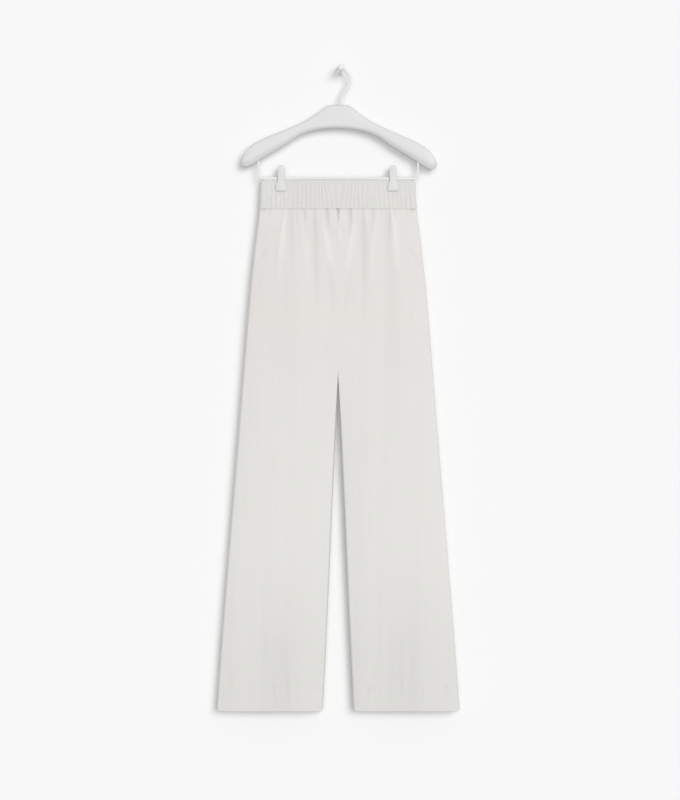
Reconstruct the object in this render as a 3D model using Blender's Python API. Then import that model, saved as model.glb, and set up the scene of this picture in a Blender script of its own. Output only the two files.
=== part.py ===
"""Off-white jacquard trousers with an elastic waistband, clipped to a hanger that hangs on a wall peg.

Metres, +Z up. The wall is the plane Y = 0, everything stands out from it towards -Y, and +X is to the right
as seen from the front. The origin is the centre of the peg's flat back, on the wall.
The tables are in millimetres, and are scaled by MM where they are read.
"""

import bmesh
import bpy
import math
from collections import namedtuple
from mathutils import Matrix, Vector

MM = 0.001
SEAM_GAP = 0.3 * MM  # what separates two pieces that are sewn or stand face to face

# ---------------------------------------------------------------- places of the main groups
MIDDLE_Y = -24 * MM  # plane of the hanger, the bar and the trousers' side seams
TROUSERS_X = -5.6 * MM  # the trousers are clipped a little left of the peg
WAIST_SEAM_Z = -272.8 * MM  # where the legs are sewn to the waistband
BAND_HEIGHT = 57 * MM
INSEAM_TOP = 326 * MM  # crotch, measured down from the waist seam
LEG_LENGTH = 1004 * MM  # waist seam to hem
HEM_DEPTH = 36 * MM

# ---------------------------------------------------------------- cloth
CLOTH = 1.5 * MM
HEM_CLOTH = 2 * CLOTH  # turned up once
BAND_CLOTH = 3.0 * MM  # two layers over the elastic
FRONT, BACK = -1, 1  # side of the middle plane, along Y
LEFT, RIGHT = -1, 1  # half of the garment, along X

# The garment's sections. drop is measured down from the waist seam, half_width is from the centre to the
# side seam, gap from the centre to the inseam, and front and back are how far each face stands from the
# middle plane.
Section = namedtuple("Section", "drop half_width gap front back")
SECTIONS = (
    Section(-57, 155.0, 0, 8.0, 8.0),
    Section(-28, 155.4, 0, 8.6, 8.6),
    Section(0, 157.4, 0, 8.2, 8.2),
    Section(32, 161.4, 0, 10.6, 11.0),
    Section(82, 167.6, 0, 13.4, 14.6),
    Section(142, 174.4, 0, 15.0, 17.0),
    Section(222, 181.5, 0, 15.6, 18.0),
    Section(326, 190.0, 0, 15.0, 16.6),
    Section(442, 199.2, 4.4, 14.2, 15.2),
    Section(582, 210.6, 10.8, 13.4, 14.0),
    Section(742, 223.7, 17.7, 12.8, 13.2),
    Section(902, 236.4, 25.0, 12.4, 12.6),
    Section(1004, 243.6, 30.0, 12.0, 12.4),
)
SIDE_TURN = 18 * MM  # how far from the side seam the cloth starts to turn round
INNER_TURN = 20 * MM  # the same at the inseam
BAND_TURN = 9 * MM  # the same at the ends of the waistband
FORK_RISE = 52 * MM  # how far above the crotch the centre seam starts to dip
FORK_ROUND = 0.6  # how far it has dipped when the inner edges start to turn round as they do on the legs
TOP_CORNER = 10 * MM  # rounding of the waistband's upper corners
HEM_CORNER = 6 * MM  # rounding of the hem's corners

# Folds. x and drop give both ends, width is the half width of the trough or ridge, and height is how far it
# stands out, so a trough is negative.
Fold = namedtuple("Fold", "x0 drop0 x1 drop1 width height")
FRONT_FOLDS = (
    Fold(0, -12, 0, 34, 3.6, -3.4),
    Fold(-24, -12, -20, 60, 5.0, -2.2),
    Fold(24, -12, 20, 56, 5.0, -2.2),
    Fold(-50, -12, -42, 250, 7.0, -1.8),
    Fold(48, -12, 50, 250, 7.0, -1.8),
    Fold(-69, -12, -64, 110, 5.5, -1.6),
    Fold(70, -12, 63, 110, 5.5, -1.6),
    Fold(-97, -12, -93, 190, 8.0, -2.0),
    Fold(97, -12, 93, 190, 8.0, -2.0),
    Fold(-30, 20, -4, 190, 6.5, 1.8),
    Fold(30, 20, 8, 190, 6.5, 1.8),
    Fold(-72, -8, -57, 190, 6.0, 1.5),
    Fold(72, -8, 59, 190, 6.0, 1.5),
    Fold(-106, -8, -132, 210, 6.5, 2.2),
    Fold(106, -8, 134, 210, 6.5, 2.2),
    Fold(-108, 150, -112, 520, 12.0, -1.5),
    Fold(110, 150, 112, 520, 12.0, -1.5),
    Fold(-126, 780, -127, 1060, 9.0, -1.5),
    Fold(124, 780, 122, 1060, 9.0, -1.5),
)
BACK_FOLDS = (
    Fold(0, -12, 0, 60, 4.0, -3.0),
    Fold(-22, -12, -26, 90, 5.5, -2.2),
    Fold(27, -12, 25, 80, 5.5, -2.2),
    Fold(-55, -12, -47, 220, 7.5, -2.0),
    Fold(51, -12, 56, 200, 7.5, -2.0),
    Fold(-84, -12, -80, 130, 6.0, -1.8),
    Fold(88, -12, 82, 150, 6.0, -1.8),
    Fold(-38, -8, -34, 160, 6.5, 1.6),
    Fold(39, -8, 37, 150, 6.5, 1.6),
    Fold(-70, -8, -64, 190, 6.5, 1.6),
    Fold(71, -8, 68, 180, 6.5, 1.6),
    Fold(-112, -8, -128, 200, 7.0, 2.0),
    Fold(110, -8, 130, 210, 7.0, 2.0),
    Fold(-104, 200, -110, 620, 13.0, -1.6),
    Fold(108, 180, 112, 600, 13.0, -1.6),
    Fold(-130, 760, -132, 1060, 10.0, -1.5),
    Fold(128, 740, 130, 1060, 10.0, -1.5),
)
FOLDS = {FRONT: FRONT_FOLDS, BACK: BACK_FOLDS}
FOLD_RISE = 0.2  # share of a fold's length over which it starts
FOLD_FALL = 0.75  # share of its length over which it dies away
FOLD_EDGE = 1.6  # how soon the folds fade towards the seams

# Gathers of the waistband
GATHERS = {FRONT: 36, BACK: 36}
GATHER_HEIGHT = 1.5 * MM
GATHER_SPREAD = 1.0  # how much the middle gathers fan out from the seam to the top edge
GATHER_SPREAD_WIDTH = 20 * MM
GATHER_PLAIN_TOP = 7 * MM  # smooth turned edge above the gathers
GATHER_PLAIN_FOOT = 5 * MM
GATHER_COLUMNS = 4  # mesh columns in one gather

# Mesh rows and columns of the cloth
LEG_ROWS = (
    0, 12, 28, 48, 76, 112, 156, 206, 256, 288, 306, 318, 326, 342, 390, 480, 600, 740, 870, 968, 1004
)
INNER_ARC_COLUMNS = 5
FLAT_COLUMNS = 18
FLAT_BIAS = 1.15  # over 1, the flat columns stand closer towards the centre
SIDE_ARC_COLUMNS = 5
BAND_ROWS = (0, 5, 14, 30, 44, 51, 57)  # heights above the waist seam
BAND_END_COLUMNS = 6

# ---------------------------------------------------------------- clips
CLIP_REACH = {LEFT: -113.6 * MM, RIGHT: 110.0 * MM}  # from the trousers' centre
CLIP_BAND_DEPTH = 4.0 * MM  # half of what the jaws leave for the band
CLIP_COVER = 21 * MM  # how far the jaws reach down over the band
CLIP_FADE = 46 * MM  # how far sideways the pinch is felt
CLIP_HALF_WIDTH = 13 * MM  # where the band is held flat
# Height above the bar's axis, half width, front and back of one leaf, all measured from the middle plane.
Leaf = namedtuple("Leaf", "height half_width front back")
LEAF_ROWS = (
    Leaf(26.0, 2.8, 8.4, 6.6),
    Leaf(25.4, 4.8, 8.8, 6.1),
    Leaf(24.0, 6.3, 9.0, 5.8),
    Leaf(21.8, 7.3, 9.0, 5.7),
    Leaf(19.0, 7.5, 9.0, 5.6),
    Leaf(8.0, 7.5, 8.0, 5.0),
    Leaf(4.6, 7.5, 7.8, 4.8),
)
JAW_ROWS = (
    Leaf(-4.6, 7.6, 7.6, 4.8),
    Leaf(-8.0, 8.6, 7.6, 4.5),
    Leaf(-13.0, 11.0, 7.8, 4.5),
    Leaf(-20.4, 11.0, 8.0, 4.5),
    Leaf(-22.8, 10.3, 7.9, 4.5),
    Leaf(-24.5, 8.7, 7.5, 4.5),
    Leaf(-25.2, 6.6, 6.8, 4.7),
)
LEAF_EDGE = 1.0 * MM  # rounding of the leaf's front edges
KNUCKLE_HEIGHT = 4.4 * MM  # half height of the boss that holds the bar
KNUCKLE_STEPS = 6

# ---------------------------------------------------------------- hanger
HANGER_X = -2.0 * MM
HANGER_TOP_Z = -64.4 * MM
# reach is measured from the hanger's centre, top and bottom are measured down from its top, thick is front
# to back and bevel is the height of the slanted band along the lower front edge.
Arm = namedtuple("Arm", "reach top bottom thick bevel")
ARM = (
    Arm(0, 0, 46.0, 10.0, 4.0),
    Arm(19.6, 1.2, 46.8, 10.0, 4.0),
    Arm(27, 5.2, 47.8, 10.0, 4.0),
    Arm(42, 17.0, 50.0, 10.2, 4.2),
    Arm(58, 28.0, 54.0, 10.6, 5.0),
    Arm(78, 38.6, 63.0, 11.2, 7.0),
    Arm(100, 48.6, 78.6, 12.0, 9.0),
    Arm(124, 58.8, 94.0, 13.0, 10.4),
    Arm(148, 69.2, 108.2, 14.0, 11.2),
    Arm(168, 79.6, 119.6, 14.6, 11.6),
    Arm(180, 88.6, 125.0, 14.6, 11.0),
    Arm(185.5, 94.6, 126.2, 14.0, 9.8),
    Arm(190, 101.2, 125.6, 13.0, 7.6),
    Arm(193, 106.6, 124.0, 11.4, 5.6),
    Arm(195, 111.4, 121.8, 9.0, 3.4),
    Arm(196, 114.8, 119.2, 6.0, 1.6),
)
SHOULDER = 5.0  # rounding of the arms' upper edges, in millimetres, at most
SHOULDER_SHARE = 0.22  # and at most this share of the arm's height
BEVEL_SHARE = 0.6  # the same for the slanted band
SOCKET_CLEARANCE = 0.3 * MM
SOCKET_SIDES = 16

# Wire hook: centreline from the bottom of its socket to its free end, seen from the front.
HOOK_WIRE = 5.0 * MM
HOOK_SOCKET = 13 * MM
HookPoint = namedtuple("HookPoint", "x z")
HOOK_ROUTE = (
    HookPoint(0.2, -76.0),
    HookPoint(0.2, -61.0),
    HookPoint(0.8, -50.0),
    HookPoint(3.4, -43.0),
    HookPoint(8.4, -36.2),
    HookPoint(13.4, -30.0),
    HookPoint(16.8, -24.4),
    HookPoint(17.6, -18.6),
    HookPoint(15.6, -12.4),
    HookPoint(12.2, -6.0),
    HookPoint(8.8, 1.0),
    HookPoint(5.2, 7.0),
    HookPoint(0.2, 10.1),
    HookPoint(-4.8, 8.8),
    HookPoint(-7.8, 4.6),
)
HOOK_STEPS = 40

# Wire bar that carries the clips
BAR_WIRE = 4.0 * MM
BAR_HALF_WIDTH = 160 * MM
BAR_Z = -210.8 * MM
BAR_CORNER = 9 * MM
BAR_CORNER_STEPS = 6
BAR_SOCKET = 9 * MM  # how far its ends go into the arms

# Wall peg: radius at each distance from the wall along its own axis, which rises away from the wall.
PEG_RISE = math.radians(11.5)
PegRing = namedtuple("PegRing", "along radius")
PEG_STEM = (PegRing(-2.0, 3.6), PegRing(1.2, 3.6), PegRing(1.8, 3.0), PegRing(2.2, 2.0), PegRing(36.1, 2.0))
PEG_BALL_RADIUS = 7.1 * MM
PEG_BALL_AT = 42.9 * MM
PEG_SIDES = 20
PEG_BALL_RINGS = 9


# ---------------------------------------------------------------- helpers
def clear_objects():
    for obj in list(bpy.data.objects):
        bpy.data.objects.remove(obj, do_unlink=True)


def material(name, colour, roughness, metallic=0.0):
    made = bpy.data.materials.new(name)
    made.use_nodes = True
    shader = made.node_tree.nodes["Principled BSDF"]
    shader.inputs["Base Color"].default_value = (*colour, 1.0)
    shader.inputs["Roughness"].default_value = roughness
    shader.inputs["Metallic"].default_value = metallic
    return made


def add_object(name, data, finish, smooth_angle=None):
    obj = bpy.data.objects.new(name, data)
    bpy.context.scene.collection.objects.link(obj)
    data.materials.append(finish)
    if smooth_angle is not None:
        data.shade_smooth()
        data.set_sharp_from_angle(angle=math.radians(smooth_angle))
    return obj


def finish_mesh(bm, name):
    bmesh.ops.recalc_face_normals(bm, faces=bm.faces)
    mesh = bpy.data.meshes.new(name)
    bm.to_mesh(mesh)
    bm.free()
    return mesh


def smooth_step(value):
    value = min(1.0, max(0.0, value))
    return value * value * (3 - 2 * value)


def slope(rows, key, column, index):
    before, after = rows[max(index - 1, 0)], rows[min(index + 1, len(rows) - 1)]
    return (getattr(after, column) - getattr(before, column)) / (getattr(after, key) - getattr(before, key))


def read_table(rows, key, column, at):
    """A smooth curve through the rows' values of column, read where the rows' key is at."""
    index = 0
    while index < len(rows) - 2 and at > getattr(rows[index + 1], key):
        index += 1
    low, high = rows[index], rows[index + 1]
    span = getattr(high, key) - getattr(low, key)
    t = min(1.0, max(0.0, (at - getattr(low, key)) / span))
    start, end = getattr(low, column), getattr(high, column)
    start_slope = slope(rows, key, column, index) * span
    end_slope = slope(rows, key, column, index + 1) * span
    curve = (2 * t**3 - 3 * t**2 + 1) * start + (t**3 - 2 * t**2 + t) * start_slope
    return curve + (3 * t**2 - 2 * t**3) * end + (t**3 - t**2) * end_slope


def section(column, drop):
    return read_table(SECTIONS, "drop", column, drop / MM) * MM


def zip_edges(bm, first, second):
    """Fills between two rows of vertices with triangles, whatever their counts."""
    i, j = 0, 0
    while i < len(first) - 1 or j < len(second) - 1:
        next_first = (i + 1) / (len(first) - 1)
        next_second = (j + 1) / (len(second) - 1)
        if next_first <= next_second:
            bm.faces.new((first[i], first[i + 1], second[j]))
            i += 1
        else:
            bm.faces.new((first[i], second[j + 1], second[j]))
            j += 1


def cloth_wall(name, outer_rows, inner_rows):
    """A closed wall between an outer and an inner grid of points, which may have different counts."""
    bm = bmesh.new()
    grids = []
    for rows in (outer_rows, inner_rows):
        grid = [[bm.verts.new(point) for point in row] for row in rows]
        for upper, lower in zip(grid, grid[1:]):
            for column in range(len(upper) - 1):
                bm.faces.new((upper[column], upper[column + 1], lower[column + 1], lower[column]))
        grids.append(grid)
    outer, inner = grids
    zip_edges(bm, outer[0], inner[0])
    zip_edges(bm, outer[-1], inner[-1])
    zip_edges(bm, [row[0] for row in outer], [row[0] for row in inner])
    zip_edges(bm, [row[-1] for row in outer], [row[-1] for row in inner])
    return finish_mesh(bm, name)


# ---------------------------------------------------------------- the cloth's form
def fold_height(face, x, drop):
    """How far the folds lift the cloth at this place, in metres."""
    total = 0.0
    for fold in FOLDS[face]:
        t = (drop / MM - fold.drop0) / (fold.drop1 - fold.drop0)
        if 0 < t < 1:
            off = (x / MM - fold.x0 - (fold.x1 - fold.x0) * t) / fold.width
            fade = smooth_step(t / FOLD_RISE) * smooth_step((1 - t) / FOLD_FALL)
            total += fold.height * math.exp(-off * off) * fade
    return total * MM


def clip_pinch(x, drop):
    """1 where a clip holds the waistband flat, falling to 0 away from the clips."""
    nearest = min(abs(x - reach) for reach in CLIP_REACH.values())
    sideways = 1 - smooth_step((nearest - CLIP_HALF_WIDTH) / CLIP_FADE)
    below_jaw = drop + BAND_HEIGHT - CLIP_COVER
    return sideways * (1 - smooth_step(below_jaw / (BAND_HEIGHT + CLIP_COVER)))


def face_depth(face, x, drop):
    """How far the face stands from the middle plane before it turns at the seams."""
    depth = section("front" if face == FRONT else "back", drop)
    pinch = clip_pinch(x, drop)
    return depth * (1 - pinch) + min(depth, CLIP_BAND_DEPTH) * pinch


def corner_lift(edge_distance, radius):
    """How far a rounded corner rises or falls at this distance from the edge."""
    if edge_distance >= radius:
        return 0.0
    return radius - math.sqrt(radius**2 - (radius - edge_distance) ** 2)


def fork_dip(drop):
    """0 where the centre seam lies on the face, 1 where it has dipped to the middle plane, at the crotch."""
    t = min(1.0, max(0.0, (drop - INSEAM_TOP + FORK_RISE) / FORK_RISE))
    return 1 - math.sqrt(1 - t * t)


def leg_point(face, hand, station, drop, inset=0.0):
    """A point of a leg panel. station runs from 0 at the centre or inseam edge through 1 and 2, where the
    cloth is flat, to 3 at the side seam, and inset is how far the point lies inside the outer surface."""
    gap = max(section("gap", drop), SEAM_GAP / 2)
    half_width = section("half_width", drop)
    dip = fork_dip(drop)
    inner_angle = math.radians(90) * min(station, 1.0)
    side_angle = math.radians(90) * min(3.0 - station, 1.0)
    flat = min(max(station - 1.0, 0.0), 1.0)
    inner_end = gap + INNER_TURN
    side_start = half_width - SIDE_TURN
    if station < 1:
        x = gap + INNER_TURN * (1 - math.cos(inner_angle))
    elif station < 2:
        x = inner_end + (side_start - inner_end) * flat
    else:
        x = half_width - SIDE_TURN * (1 - math.cos(side_angle))
    trough = smooth_step(1 - math.cos(inner_angle))
    round_off = smooth_step((dip - FORK_ROUND) / (1 - FORK_ROUND))
    inner_rise = trough * (1 - round_off) + math.sin(inner_angle) * round_off
    rise = (1 - dip * (1 - inner_rise)) * math.sin(side_angle)
    lean = math.radians(90) * smooth_step(dip) - inner_angle * smooth_step(dip)
    if station > 2:
        lean = side_angle - math.radians(90)
    depth = face_depth(face, hand * x, drop) * rise
    depth += fold_height(face, hand * x, drop) * rise * smooth_step(rise * FOLD_EDGE)
    x += inset * math.sin(lean)
    depth = max(depth - inset * math.cos(lean), 0.0)
    z = WAIST_SEAM_Z - drop
    if drop > LEG_LENGTH - HEM_CORNER:
        z += corner_lift(half_width - x, HEM_CORNER) + corner_lift(x - gap, HEM_CORNER)
    return Vector((TROUSERS_X + hand * x, MIDDLE_Y + face * (depth + SEAM_GAP / 2), z))


def leg_stations():
    inner = [step / INNER_ARC_COLUMNS for step in range(INNER_ARC_COLUMNS)]
    flat = [1 + (step / FLAT_COLUMNS) ** FLAT_BIAS for step in range(FLAT_COLUMNS)]
    side = [2 + step / SIDE_ARC_COLUMNS for step in range(SIDE_ARC_COLUMNS + 1)]
    return inner + flat + side


def leg_panel(name, face, hand, finish):
    stations = leg_stations()
    outer_drops = [row * MM for row in LEG_ROWS]
    outer_drops[0] = SEAM_GAP / 2
    hem_top = LEG_LENGTH - HEM_DEPTH
    inner_drops = [(drop, CLOTH) for drop in outer_drops if drop < hem_top - MM]
    inner_drops += [(hem_top - CLOTH, CLOTH), (hem_top, HEM_CLOTH), (LEG_LENGTH, HEM_CLOTH)]
    outer, inner = [], []
    for drop in outer_drops:
        outer.append([leg_point(face, hand, station, drop) for station in stations])
    for drop, cloth in inner_drops:
        inner.append([leg_point(face, hand, station, drop, cloth) for station in stations])
    return add_object(name, cloth_wall(name, outer, inner), finish, smooth_angle=50)


def gather_height(phase, height, pinch):
    """How far a gather stands out. phase counts gathers along the band, height is above the waist seam."""
    wave = 0.5 + 0.5 * math.cos(2 * math.pi * phase)
    foot = smooth_step((height - SEAM_GAP) / GATHER_PLAIN_FOOT)
    top = smooth_step((BAND_HEIGHT - height) / GATHER_PLAIN_TOP)
    uneven = 0.8 + 0.2 * math.sin(1.9 * phase) * math.sin(0.7 * phase + 1.0)
    return GATHER_HEIGHT * wave * uneven * foot * top * (1 - pinch)


def band_point(face, share, height, inset=0.0, gathered=True):
    """A point of a waistband half. share runs from -1 to 1 along it, and -1 and 1 are the side seams."""
    half_width = section("half_width", -height)
    turn_share = BAND_TURN / half_width
    flat_end = half_width - BAND_TURN
    past_flat = (abs(share) - (1 - turn_share)) / turn_share
    side_angle = math.radians(90) * (1 - max(past_flat, 0.0))
    if past_flat <= 0:
        seam_x = share / (1 - turn_share) * flat_end
        fan = 1 + GATHER_SPREAD * height / BAND_HEIGHT * math.exp(-((seam_x / GATHER_SPREAD_WIDTH) ** 2))
        x = seam_x * fan
    else:
        x = math.copysign(half_width - BAND_TURN * (1 - math.cos(side_angle)), share)
    rise = math.sin(side_angle)
    depth = face_depth(face, x, -height) * rise
    pinch = clip_pinch(x, -height) if height > BAND_HEIGHT - CLIP_COVER - GATHER_PLAIN_TOP else 0.0
    proud = gather_height(share * GATHERS[face] / 2, height, pinch) if gathered else 0.0
    out = proud - inset
    lean = side_angle - math.radians(90) if past_flat > 0 else 0.0
    x -= math.copysign(out * math.sin(lean), share)
    depth = max(depth + out * math.cos(lean), 0.0)
    z = WAIST_SEAM_Z + max(height, SEAM_GAP / 2)
    z -= corner_lift(max(half_width - abs(x), 0.0), TOP_CORNER) * (height / BAND_HEIGHT) ** 2
    return Vector((TROUSERS_X + x, MIDDLE_Y + face * (depth + SEAM_GAP / 2), z))


def band_shares(columns_in_gather):
    turn_share = BAND_TURN / section("half_width", 0.0)
    flat = int(GATHERS[FRONT] * columns_in_gather)
    ends = [1 - turn_share * (1 - step / BAND_END_COLUMNS) for step in range(1, BAND_END_COLUMNS + 1)]
    middle = [(2 * step / flat - 1) * (1 - turn_share) for step in range(flat + 1)]
    return [-share for share in reversed(ends)] + middle + ends


def waistband_half(name, face, finish):
    heights = [row * MM for row in BAND_ROWS]
    outer = [[band_point(face, share, height) for share in band_shares(GATHER_COLUMNS)] for height in heights]
    inner_heights = (heights[0], heights[3], heights[-1])
    inner = []
    for height in inner_heights:
        inner.append([band_point(face, share, height, BAND_CLOTH, False) for share in band_shares(1)])
    return add_object(name, cloth_wall(name, outer, inner), finish, smooth_angle=60)


# ---------------------------------------------------------------- hanger, hook, bar, clips and peg
def loft(name, rings):
    """A closed solid through rings of equal point counts, with flat ends."""
    bm = bmesh.new()
    made = [[bm.verts.new(point) for point in ring] for ring in rings]
    for ring, following in zip(made, made[1:]):
        count = len(ring)
        for index in range(count):
            after = (index + 1) % count
            bm.faces.new((ring[index], ring[after], following[after], following[index]))
    bm.faces.new(made[0])
    bm.faces.new(made[-1])
    return finish_mesh(bm, name)


def arm_ring(hand, arm):
    """One section of the hanger: a rounded top, flat faces and a slanted band along the lower front edge."""
    x = HANGER_X + hand * arm.reach * MM
    half = arm.thick / 2
    height = arm.bottom - arm.top
    shoulder = min(SHOULDER_SHARE * height, SHOULDER)
    bevel = min(arm.bevel, BEVEL_SHARE * height)
    outline = (
        (-0.35 * half, arm.bottom),
        (-half, arm.bottom - bevel),
        (-half, arm.top + shoulder),
        (-0.78 * half, arm.top + 0.35 * shoulder),
        (-0.3 * half, arm.top),
        (0.3 * half, arm.top),
        (0.78 * half, arm.top + 0.35 * shoulder),
        (half, arm.top + shoulder),
        (half, arm.bottom - 0.4 * shoulder),
        (0.6 * half, arm.bottom),
    )
    return [Vector((x, MIDDLE_Y + y * MM, HANGER_TOP_Z - down * MM)) for y, down in outline]


def socket(name, x, z_low, z_high, radius):
    """A round cutter along Z."""
    bm = bmesh.new()
    place = Matrix.Translation((x, MIDDLE_Y, (z_low + z_high) / 2))
    depth = z_high - z_low
    bmesh.ops.create_cone(
        bm, cap_ends=True, segments=SOCKET_SIDES, radius1=radius, radius2=radius, depth=depth, matrix=place
    )
    cutter = bpy.data.objects.new(name, finish_mesh(bm, name))
    bpy.context.scene.collection.objects.link(cutter)
    cutter.hide_render = True
    cutter.display_type = "WIRE"
    return cutter


def hanger_body(finish):
    sections = [(LEFT, arm) for arm in reversed(ARM)] + [(RIGHT, arm) for arm in ARM[1:]]
    mesh = loft("hanger", [arm_ring(*place) for place in sections])
    hanger = add_object("hanger", mesh, finish, smooth_angle=28)
    hook_hole = HOOK_WIRE / 2 + SOCKET_CLEARANCE
    bar_hole = BAR_WIRE / 2 + SOCKET_CLEARANCE
    hook_x = HOOK_ROUTE[0].x * MM
    cutters = [socket("cutter_hook", hook_x, HANGER_TOP_Z - HOOK_SOCKET, HANGER_TOP_Z + MM, hook_hole)]
    for hand in (LEFT, RIGHT):
        x = TROUSERS_X + hand * BAR_HALF_WIDTH
        cutters.append(socket("cutter_bar", x, BAR_Z, bar_top(hand) + SOCKET_CLEARANCE, bar_hole))
    for cutter in cutters:
        cut = hanger.modifiers.new("socket", "BOOLEAN")
        cut.operation = "DIFFERENCE"
        cut.solver = "EXACT"
        cut.object = cutter
    return hanger


def bar_top(hand):
    """Height of the bar's end inside the arm."""
    reach = abs(TROUSERS_X + hand * BAR_HALF_WIDTH - HANGER_X) / MM
    return HANGER_TOP_Z - read_table(ARM, "reach", "bottom", reach) * MM + BAR_SOCKET


def tube(name, points, diameter, finish):
    """A round wire along the points, with closed ends."""
    curve = bpy.data.curves.new(name, "CURVE")
    curve.dimensions = "3D"
    curve.bevel_depth = diameter / 2
    curve.bevel_resolution = 2
    curve.use_fill_caps = True
    spline = curve.splines.new("POLY")
    spline.points.add(len(points) - 1)
    for target, point in zip(spline.points, points):
        target.co = (*point, 1.0)
    spline.use_smooth = True
    obj = bpy.data.objects.new(name, curve)
    bpy.context.scene.collection.objects.link(obj)
    curve.materials.append(finish)
    return obj


def hook_wire(finish):
    """The hook's route is read by its running length, so that the steps are even."""
    Running = namedtuple("Running", "length x z")
    route, length = [], 0.0
    for index, point in enumerate(HOOK_ROUTE):
        if index:
            before = HOOK_ROUTE[index - 1]
            length += math.hypot(point.x - before.x, point.z - before.z)
        route.append(Running(length, point.x, point.z))
    points = []
    for step in range(HOOK_STEPS + 1):
        at = length * step / HOOK_STEPS
        x, z = read_table(route, "length", "x", at), read_table(route, "length", "z", at)
        points.append(Vector((x * MM, MIDDLE_Y, z * MM)))
    return tube("hook", points, HOOK_WIRE, finish)


def bar_wire(finish):
    points = []
    for hand in (LEFT, RIGHT):
        side = [Vector((hand * BAR_HALF_WIDTH, 0, bar_top(hand)))]
        for step in range(BAR_CORNER_STEPS + 1):
            angle = math.radians(90) * step / BAR_CORNER_STEPS
            x = BAR_HALF_WIDTH - BAR_CORNER * (1 - math.cos(angle))
            side.append(Vector((hand * x, 0, BAR_Z + BAR_CORNER * (1 - math.sin(angle)))))
        points += side if hand == LEFT else side[::-1]
    return tube("clip_bar", [point + Vector((TROUSERS_X, MIDDLE_Y, 0)) for point in points], BAR_WIRE, finish)


def knuckle_rows():
    """Rows of the boss round the bar: its back comes to the middle plane, and a half round groove clears
    the bar."""
    groove = BAR_WIRE / 2 + SOCKET_CLEARANCE
    edge = (SEAM_GAP / 2) / MM
    rows = [Leaf(KNUCKLE_HEIGHT / MM, 7.5, 7.7, edge)]
    for step in range(KNUCKLE_STEPS + 1):
        height = groove * math.cos(math.pi * step / KNUCKLE_STEPS)
        back = max(math.sqrt(max(groove**2 - height**2, 0.0)) / MM, edge)
        rows.append(Leaf(height / MM, 7.5, 7.7, back))
    rows.append(Leaf(-KNUCKLE_HEIGHT / MM, 7.5, 7.6, edge))
    return rows


def clip_leaf(name, face, hand, finish):
    """One leaf of a clip: a finger lever above the bar, a boss round the bar and a wider jaw below it."""
    x_centre = TROUSERS_X + CLIP_REACH[hand]
    rings = []
    for row in (*LEAF_ROWS, *knuckle_rows(), *JAW_ROWS):
        z = BAR_Z + row.height * MM
        width, front, back = row.half_width * MM, row.front * MM, row.back * MM
        edge = min(LEAF_EDGE, 0.4 * (front - back))
        outline = (
            (-width, back),
            (-width, front - edge),
            (-width + edge, front),
            (width - edge, front),
            (width, front - edge),
            (width, back),
        )
        rings.append([Vector((x_centre + x, MIDDLE_Y + face * depth, z)) for x, depth in outline])
    return add_object(name, loft(name, rings), finish, smooth_angle=40)


def wall_peg(finish):
    """A turned peg with a ball end, cut off flat at the wall."""
    profile = [PegRing(ring.along * MM, ring.radius * MM) for ring in PEG_STEM]
    start = math.asin(PEG_STEM[-1].radius * MM / PEG_BALL_RADIUS)
    for step in range(PEG_BALL_RINGS):
        angle = start + (math.pi - start) * step / PEG_BALL_RINGS
        along = PEG_BALL_AT - PEG_BALL_RADIUS * math.cos(angle)
        profile.append(PegRing(along, PEG_BALL_RADIUS * math.sin(angle)))
    turn = Matrix.Rotation(math.radians(90) - PEG_RISE, 3, "X")
    bm = bmesh.new()
    rings = []
    for ring in profile:
        circle = []
        for side in range(PEG_SIDES):
            angle = 2 * math.pi * side / PEG_SIDES
            circle.append(Vector((ring.radius * math.cos(angle), ring.radius * math.sin(angle), ring.along)))
        rings.append([bm.verts.new(turn @ point) for point in circle])
    tip = bm.verts.new(turn @ Vector((0, 0, PEG_BALL_AT + PEG_BALL_RADIUS)))
    for ring, following in zip(rings, rings[1:]):
        for side in range(PEG_SIDES):
            after = (side + 1) % PEG_SIDES
            bm.faces.new((ring[side], ring[after], following[after], following[side]))
    for side in range(PEG_SIDES):
        bm.faces.new((rings[-1][side], rings[-1][(side + 1) % PEG_SIDES], tip))
    everything = bm.verts[:] + bm.edges[:] + bm.faces[:]
    bmesh.ops.bisect_plane(bm, geom=everything, plane_co=(0, 0, 0), plane_no=(0, 1, 0), clear_outer=True)
    bmesh.ops.holes_fill(bm, edges=[edge for edge in bm.edges if edge.is_boundary])
    return add_object("wall_peg", finish_mesh(bm, "wall_peg"), finish, smooth_angle=40)


def build():
    clear_objects()
    cloth = material("off_white_jacquard", (0.77, 0.75, 0.71), 0.8)
    band_cloth = material("gathered_jacquard", (0.72, 0.71, 0.67), 0.85)
    plastic = material("white_plastic", (0.78, 0.78, 0.78), 0.4)
    wire = material("white_coated_wire", (0.8, 0.8, 0.8), 0.35)
    metal = material("satin_metal", (0.72, 0.71, 0.68), 0.3, 1.0)
    for face, face_name in ((FRONT, "front"), (BACK, "back")):
        for hand, hand_name in ((LEFT, "left"), (RIGHT, "right")):
            leg_panel(f"{face_name}_{hand_name}", face, hand, cloth)
            clip_leaf(f"clip_{hand_name}_{face_name}", face, hand, plastic)
        waistband_half(f"waistband_{face_name}", face, band_cloth)
    hanger_body(plastic)
    hook_wire(wire)
    bar_wire(wire)
    wall_peg(metal)


build()
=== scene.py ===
"""The finish of off-white jacquard trousers with an elastic waistband, clipped to a hanger on a wall peg.

Metres, +Z up, in the frame of the solids. The wall is the plane Y = 0, and everything stands out from it
towards -Y. +X is to the right as seen from the front. The origin is the centre of the peg's flat back, on
the wall. The tables are in millimetres, and are scaled by MM where they are read.
"""

import math
from collections import namedtuple

import bmesh
import bpy
import numpy as np
from mathutils import Matrix, Vector


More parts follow.
